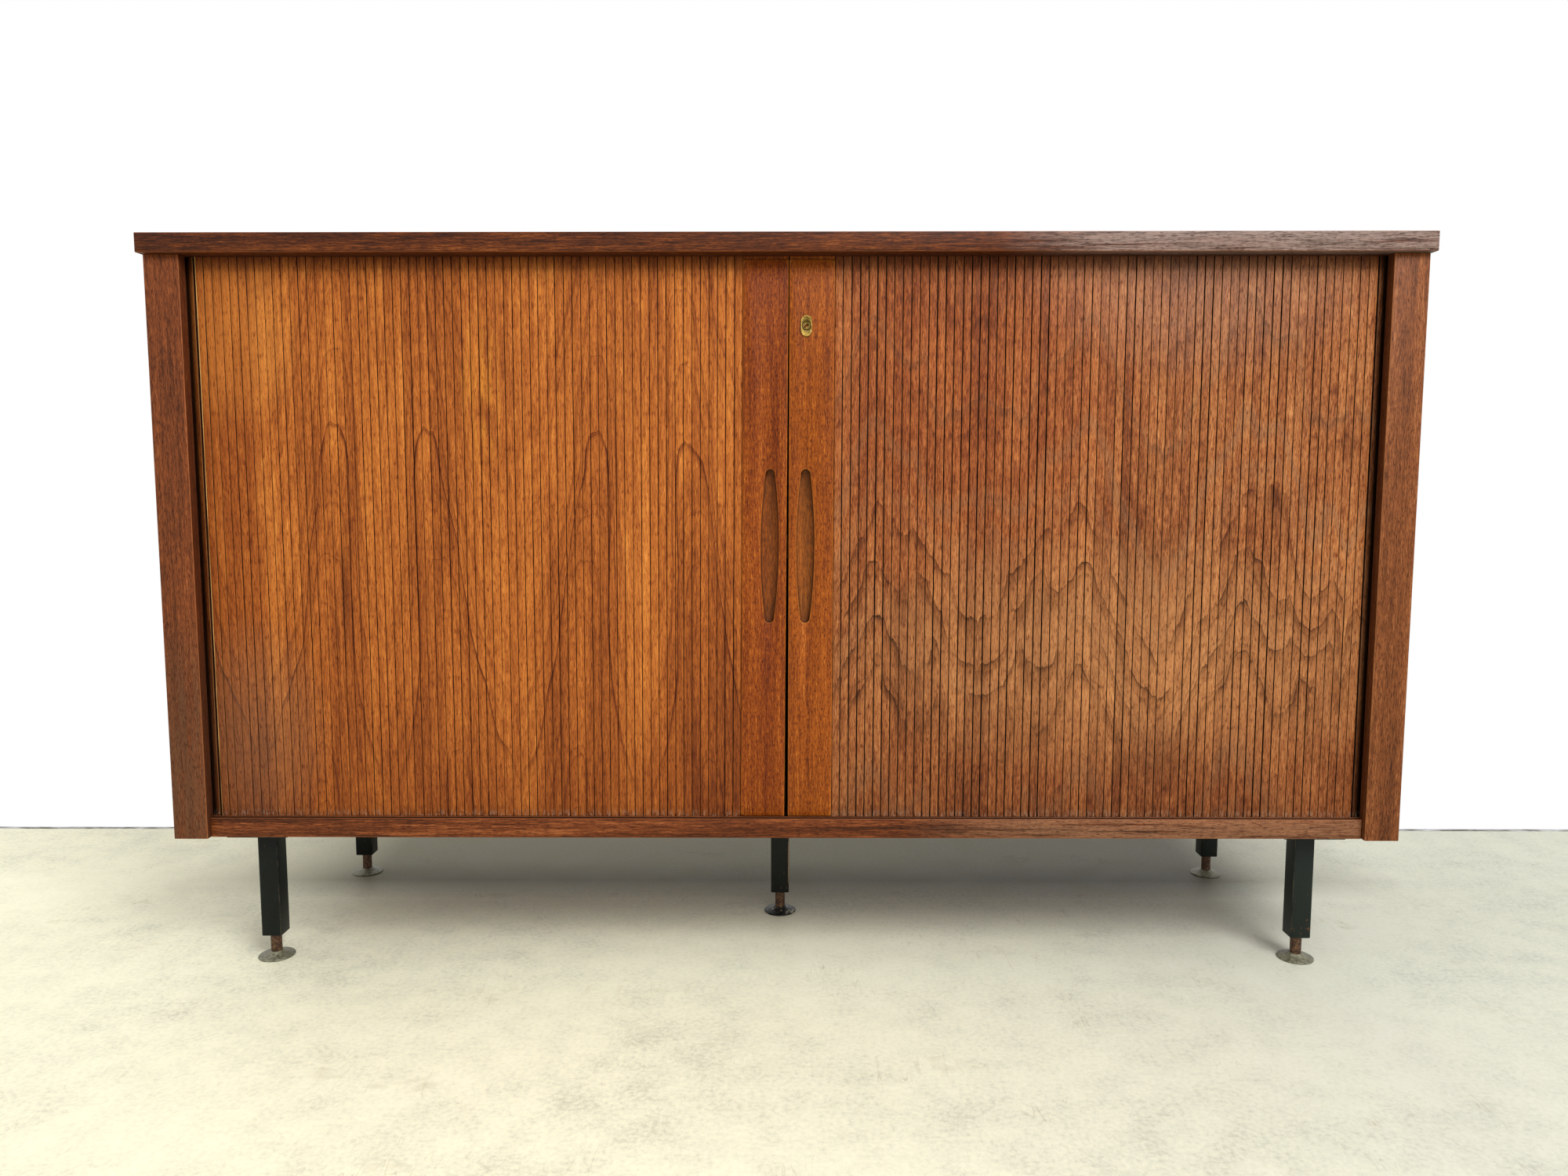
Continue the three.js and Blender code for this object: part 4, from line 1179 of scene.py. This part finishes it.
def lock():
    """An oval escutcheon with a raised rim, and the plug in it with its key slot."""
    width, height = ESCUTCHEON_HALF
    hole, front = ESCUTCHEON_HOLE, ESCUTCHEON_FRONT
    plate = [(hole, hole, ESCUTCHEON_BACK, 1), (width, height, ESCUTCHEON_BACK, 1)]
    plate += [(width - inset, height - inset, front + depth, deep) for inset, depth, deep in ESCUTCHEON_RIM]
    plate += [(hole + out, hole + out, front + depth, deep) for out, depth, deep in ESCUTCHEON_MOUTH]
    shells = [ovals(plate, pierced=True)]
    piece("lock_oval", shells, [brass], "right_door", "lock_escutcheon")
    plug = [(PLUG_RADIUS, PLUG_RADIUS, PLUG_BACK, 1)]
    plug += [(wide, high, PLUG_FRONT + depth, deep) for wide, high, depth, deep in PLUG_RINGS]
    piece("lock_key_plug", [ovals(plug, KEY_TURN)], [brass], "lock_cylinder", "lock_plug")
    low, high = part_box("lock_case")
    case = slab((low[0], CASE_FRONT, low[2]), high, CASE_ARRIS)
    piece("lock_case_box", [case], [steel], "right_door", "lock_case")


lock()
for node in ("lock_cam", "strike_plate"):
    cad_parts[node].data.materials.clear()
    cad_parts[node].data.materials.append(steel)

# Legs and feet

LEG_HALF = 0.0135
LEG_CORNER = 0.0025
LEG_WALL = 0.002
LEG_LOW = 0.033
LEG_HIGH = 0.1784
LEG_FLOOR = 0.006
LEG_INNER_CORNER = 0.0008
STEM_GAP = 0.0003
PLATE_HALF = 0.04
PLATE_LOW = 0.1787
PLATE_HIGH = 0.1827
PLATE_SPOT = PLATE_HALF - 0.009
PLATE_SCREW = ((0.0045, -0.0005), (0.0045, 0.0002), (0.0036, 0.0016), (0.0014, 0.0021))
STEM_RADIUS = 0.0074
STEM_LOW = 0.0072
STEM_HIGH = 0.063
STEM_AROUND = 24
FOOT_RADIUS = 0.0237
FOOT_RIM = ((0.0012, 0), (0.0003, 0.0005), (0, 0.0012), (0.0004, 0.0019), (0.0012, 0.0023))
FOOT_HUB = (
    (0.018, 0.0031), (0.013, 0.0044), (0.0102, 0.0057), (0.0092, 0.0068),
    (0.0086, 0.0076), (0.0078, 0.008), (0.002, 0.008),
)
THREAD_PITCH = 0.00175
THREAD_DEPTH = 0.0003
THREAD_ROWS = 4


def leg(name, x, y):
    """A square tube with round corners, open at the top, with an end wall round the stem."""
    inner = LEG_HALF - LEG_WALL
    bore = STEM_RADIUS + STEM_GAP
    wall = LEG_LOW + LEG_FLOOR
    levels = [(bore, bore, bore, wall, 0), (bore, bore, bore, LEG_LOW, 0)]
    levels += eased(LEG_HALF, LEG_HALF, LEG_LOW, LEG_HIGH, STEEL_ARRIS, LEG_CORNER, 2)
    levels += [(inner, inner, LEG_INNER_CORNER, height, 0) for height in (LEG_HIGH, wall)]
    points, faces, wear = rings(levels, (x, y))
    count = 4 * (QUARTER_STEPS + 1)
    faces = faces[:-2] + joined_ends(len(levels), count)
    wear[: 2 * count] = 0
    wear[-2 * count :] = 0
    tube = shell(points, faces, wear=wear)
    piece(f"{name}_leg_tube", [tube], [leg_enamel], "carcass", f"leg_{name}")


def leg_plate(name, x, y):
    """The plate that screws a leg to the bottom panel, with four domed screw heads."""
    low = (x - PLATE_HALF, y - PLATE_HALF, PLATE_LOW)
    high = (x + PLATE_HALF, y + PLATE_HALF, PLATE_HIGH)
    shells = [slab(low, high, STEEL_ARRIS)]
    head = [(radius, PLATE_LOW - drop) for radius, drop in PLATE_SCREW]
    for shift_x in (-PLATE_SPOT, PLATE_SPOT):
        for shift_y in (-PLATE_SPOT, PLATE_SPOT):
            shells.append(lathe(head, (x + shift_x, y + shift_y), 1, steps=3))
    piece(f"{name}_leg_flange", shells, [leg_enamel, steel], "carcass", f"leg_plate_{name}")


def threaded_stem(x, y):
    """A threaded rod: a radius that dips once a turn, in step with the height, closed at both ends."""
    rows = round((STEM_HIGH - STEM_LOW) / THREAD_PITCH * THREAD_ROWS)
    height = np.linspace(STEM_LOW, STEM_HIGH, rows)[:, None]
    angle = np.linspace(0, math.tau, STEM_AROUND, endpoint=False)[None, :]
    phase = np.mod(height / THREAD_PITCH - angle / math.tau, 1)
    radius = STEM_RADIUS - THREAD_DEPTH * 2 * np.abs(phase - 0.5)
    z = np.broadcast_to(height, radius.shape)
    points = np.stack([x + radius * np.cos(angle), y + radius * np.sin(angle), z], axis=-1)
    return shell(points.reshape(-1, 3), wound(rows, STEM_AROUND), 1, True)


def foot(name, x, y):
    """A levelling foot: a shallow dished disc with a rolled rim and a hub, and its threaded stem."""
    levels = [(0.004, 0.0004)]
    levels += [(FOOT_RADIUS - inset, height) for inset, height in FOOT_RIM]
    levels += FOOT_HUB
    plating = foot_enamel if name == "centre" else foot_plating
    shells = [lathe(levels, (x, y)), threaded_stem(x, y)]
    piece(f"{name}_foot_pad", shells, [plating, stem_rust], f"{name}_foot", f"foot_{name}")


for leg_name, (leg_x, leg_y) in LEGS.items():
    leg(leg_name, leg_x, leg_y)
    leg_plate(leg_name, leg_x, leg_y)
    foot(leg_name, leg_x, leg_y)

# Floor, background and lights

WALL_Y = 0.39
FLOOR_HALF = 30
FADE_REACH = (2, 4.5)
WALL_HEIGHT = 3.2
FOOT_SHADOW_HEIGHT = 0.004
WORLD_LEVEL = 0.9
WORLD_LOW = 0.42


def concrete(tree):
    """Pale polished concrete, with stains and scratches, a painted shadow under and behind the cabinet, and
    painted shade towards the right.

    Far from the cabinet the camera sees it fade to white, as in a studio whose floor rises into its wall.
    """
    place, across, deep, _ = located(tree)
    cloud = speck(tree, place, (0.5, 0.35, 1), 4, 0.6)
    mottle = speck(tree, place, (0.05, 0.05, 1), 4, 0.65, 3)
    grit = speck(tree, place, (0.006, 0.006, 1), 3, 0.7, 27)
    mixture = blended(tree, (cloud, 0.75), (mottle, 0.6), (grit, 0.8))
    pales = ((0.2, "#D0CEB6"), (0.42, "#EAE8CD"), (0.58, "#F4F1D4"), (0.85, "#FAF8DF"))
    colour = add(tree, "ValToRGB", (mixture,), pales)
    stains = speck(tree, place, (0.16, 0.1, 1), 5, 0.7, 9)
    stain = add(tree, "ValToRGB", (stains,), ((0.61, 0), (0.68, 0.5), (0.8, 0.3)))
    scores = speck(tree, place, (0.03, 0.22, 1), 2, 0.5, 21)
    scratch = add(tree, "ValToRGB", (scores,), ((0.494, 0), (0.5, 0.35), (0.506, 0)))
    aside = add(tree, "Math", (across,), operation="ABSOLUTE")
    shade_to_right = (across, -0.2, 0.7)
    under_cabinet = (aside, 1, 0.68)
    far = (deep, 0.05, 0.13)
    before_wall = (deep, 0.8, 0.4)
    layers = [
        (STAIN, "#C8C0B0", stain, (grit, 0.35, 0.6)),
        (STAIN, "#B09C80", scratch, (stains, 0.52, 0.62)),
        # Painted shade: darker and cooler towards the right
        (STAIN, "#DCDFE8", shade_to_right),
        # A painted shadow under and behind the cabinet
        (STAIN, "#8A867E", under_cabinet, far, before_wall),
    ]
    stained = layered(tree, colour, layers)
    gloss = product(tree, (mottle, 0, 1, 0.45, 0.7))
    parts = {"Base Color": stained, "Roughness": gloss, "Specular IOR Level": 0.3}
    stone = add(tree, "BsdfPrincipled", parts)
    distance = add(tree, "VectorMath", (place,), operation="LENGTH").outputs["Value"]
    away = add(tree, "MapRange", (distance, *FADE_REACH), interpolation_type="SMOOTHSTEP")
    seen = add(tree, "LightPath").outputs["Is Camera Ray"]
    white = add(tree, "Emission", {"Color": "#FFFFFF", "Strength": 1})
    return add(tree, "MixShader", (product(tree, away, seen), stone, white))


def plaster(tree):
    """White wall with a thin grey painted shadow line at its foot, seen only from the front: the back stays
    in view.
    """
    place, _, _, up = located(tree)
    # A painted shadow where the wall meets the floor
    at_foot = add(tree, "Math", (up, FOOT_SHADOW_HEIGHT), operation="LESS_THAN")
    ragged = speck(tree, place, (0.03, 1, 0.002), 3, 0.6)
    broken = add(tree, "ValToRGB", (ragged,), ((0.35, 1), (0.65, 0.4)))
    colour = layered(tree, "#FFFFFF", [(PAINT, "#6E6C64", at_foot, broken)])
    white = add(tree, "Emission", {"Color": colour, "Strength": 1})
    behind = add(tree, "NewGeometry").outputs["Backfacing"]
    return add(tree, "MixShader", (behind, white, add(tree, "BsdfTransparent")))


def backdrop(name, corners, surface):
    """A flat part of the stage between four corners."""
    mesh = bpy.data.meshes.new(name)
    mesh.from_pydata(corners, [], [(0, 1, 2, 3)])
    mesh.materials.append(surface)
    made = placed(name, mesh)
    return made


def make_floor():
    """A flat floor."""
    reach = FLOOR_HALF
    corners = [(-reach, -reach, 0), (reach, -reach, 0), (reach, reach, 0), (-reach, reach, 0)]
    backdrop("floor", corners, material("pale_polished_concrete", concrete))


def make_wall():
    """A wall behind the cabinet that only the camera sees, and only from the front."""
    corners = [(-FLOOR_HALF, WALL_Y, 0), (FLOOR_HALF, WALL_Y, 0)]
    corners += [(FLOOR_HALF, WALL_Y, WALL_HEIGHT), (-FLOOR_HALF, WALL_Y, WALL_HEIGHT)]
    wall = backdrop("wall", corners, material("white_plaster", plaster))
    wall.visible_diffuse = False
    wall.visible_glossy = False
    wall.visible_shadow = False


def make_world():
    """A soft light, weaker near the horizon and low behind, and plain white to the camera and in a gloss."""
    world = bpy.data.worlds.new("studio")
    world.use_nodes = True
    tree = world.node_tree
    tree.nodes.clear()
    path = add(tree, "LightPath")
    seen = path.outputs["Is Camera Ray"]
    for ray in ("Is Glossy Ray", "Is Transmission Ray"):
        seen = add(tree, "Math", (seen, path.outputs[ray]), operation="MAXIMUM")
    parts = add(tree, "SeparateXYZ", (add(tree, "TexCoord").outputs["Generated"],))
    towards = parts.outputs["Z"]
    behind = (parts.outputs["Y"], 0.1, 0.5)
    low = (towards, 0.75, 0.45, 0, 0.85)
    left_over = add(tree, "Math", (1, product(tree, behind, low)), operation="SUBTRACT")
    dimmed = product(tree, (towards, 0, 0.6, WORLD_LOW, WORLD_LEVEL), left_over)
    level = add(tree, "MapRange", {"Value": seen, "To Min": dimmed, "To Max": 1})
    light = add(tree, "Background", {"Color": "#FFFFFF", "Strength": level})
    add(tree, "OutputWorld", {"Surface": light})
    bpy.context.scene.world = world


def lamp(name, place, aim, size, power):
    """A square soft light at a place, turned to what it aims at."""
    data = bpy.data.lights.new(name, "AREA")
    data.size = size
    data.energy = power
    made = placed(name, data)
    made.location = place
    away = np.array(place) - np.array(aim)
    pitch = math.atan2(math.hypot(away[0], away[1]), away[2])
    made.rotation_euler = (pitch, 0, math.atan2(away[0], -away[1]))
    made.visible_camera = False


make_floor()
make_wall()
make_world()
lamp("key_light", place=(1.5, -2.6, 2.8), aim=(0, 0, 0.5), size=1.6, power=110)
lamp("left_light", place=(-2.1, 0.5, 1.6), aim=(-1.2, 0.1, 0), size=1, power=6)

bpy.context.scene.view_settings.view_transform = "Standard"
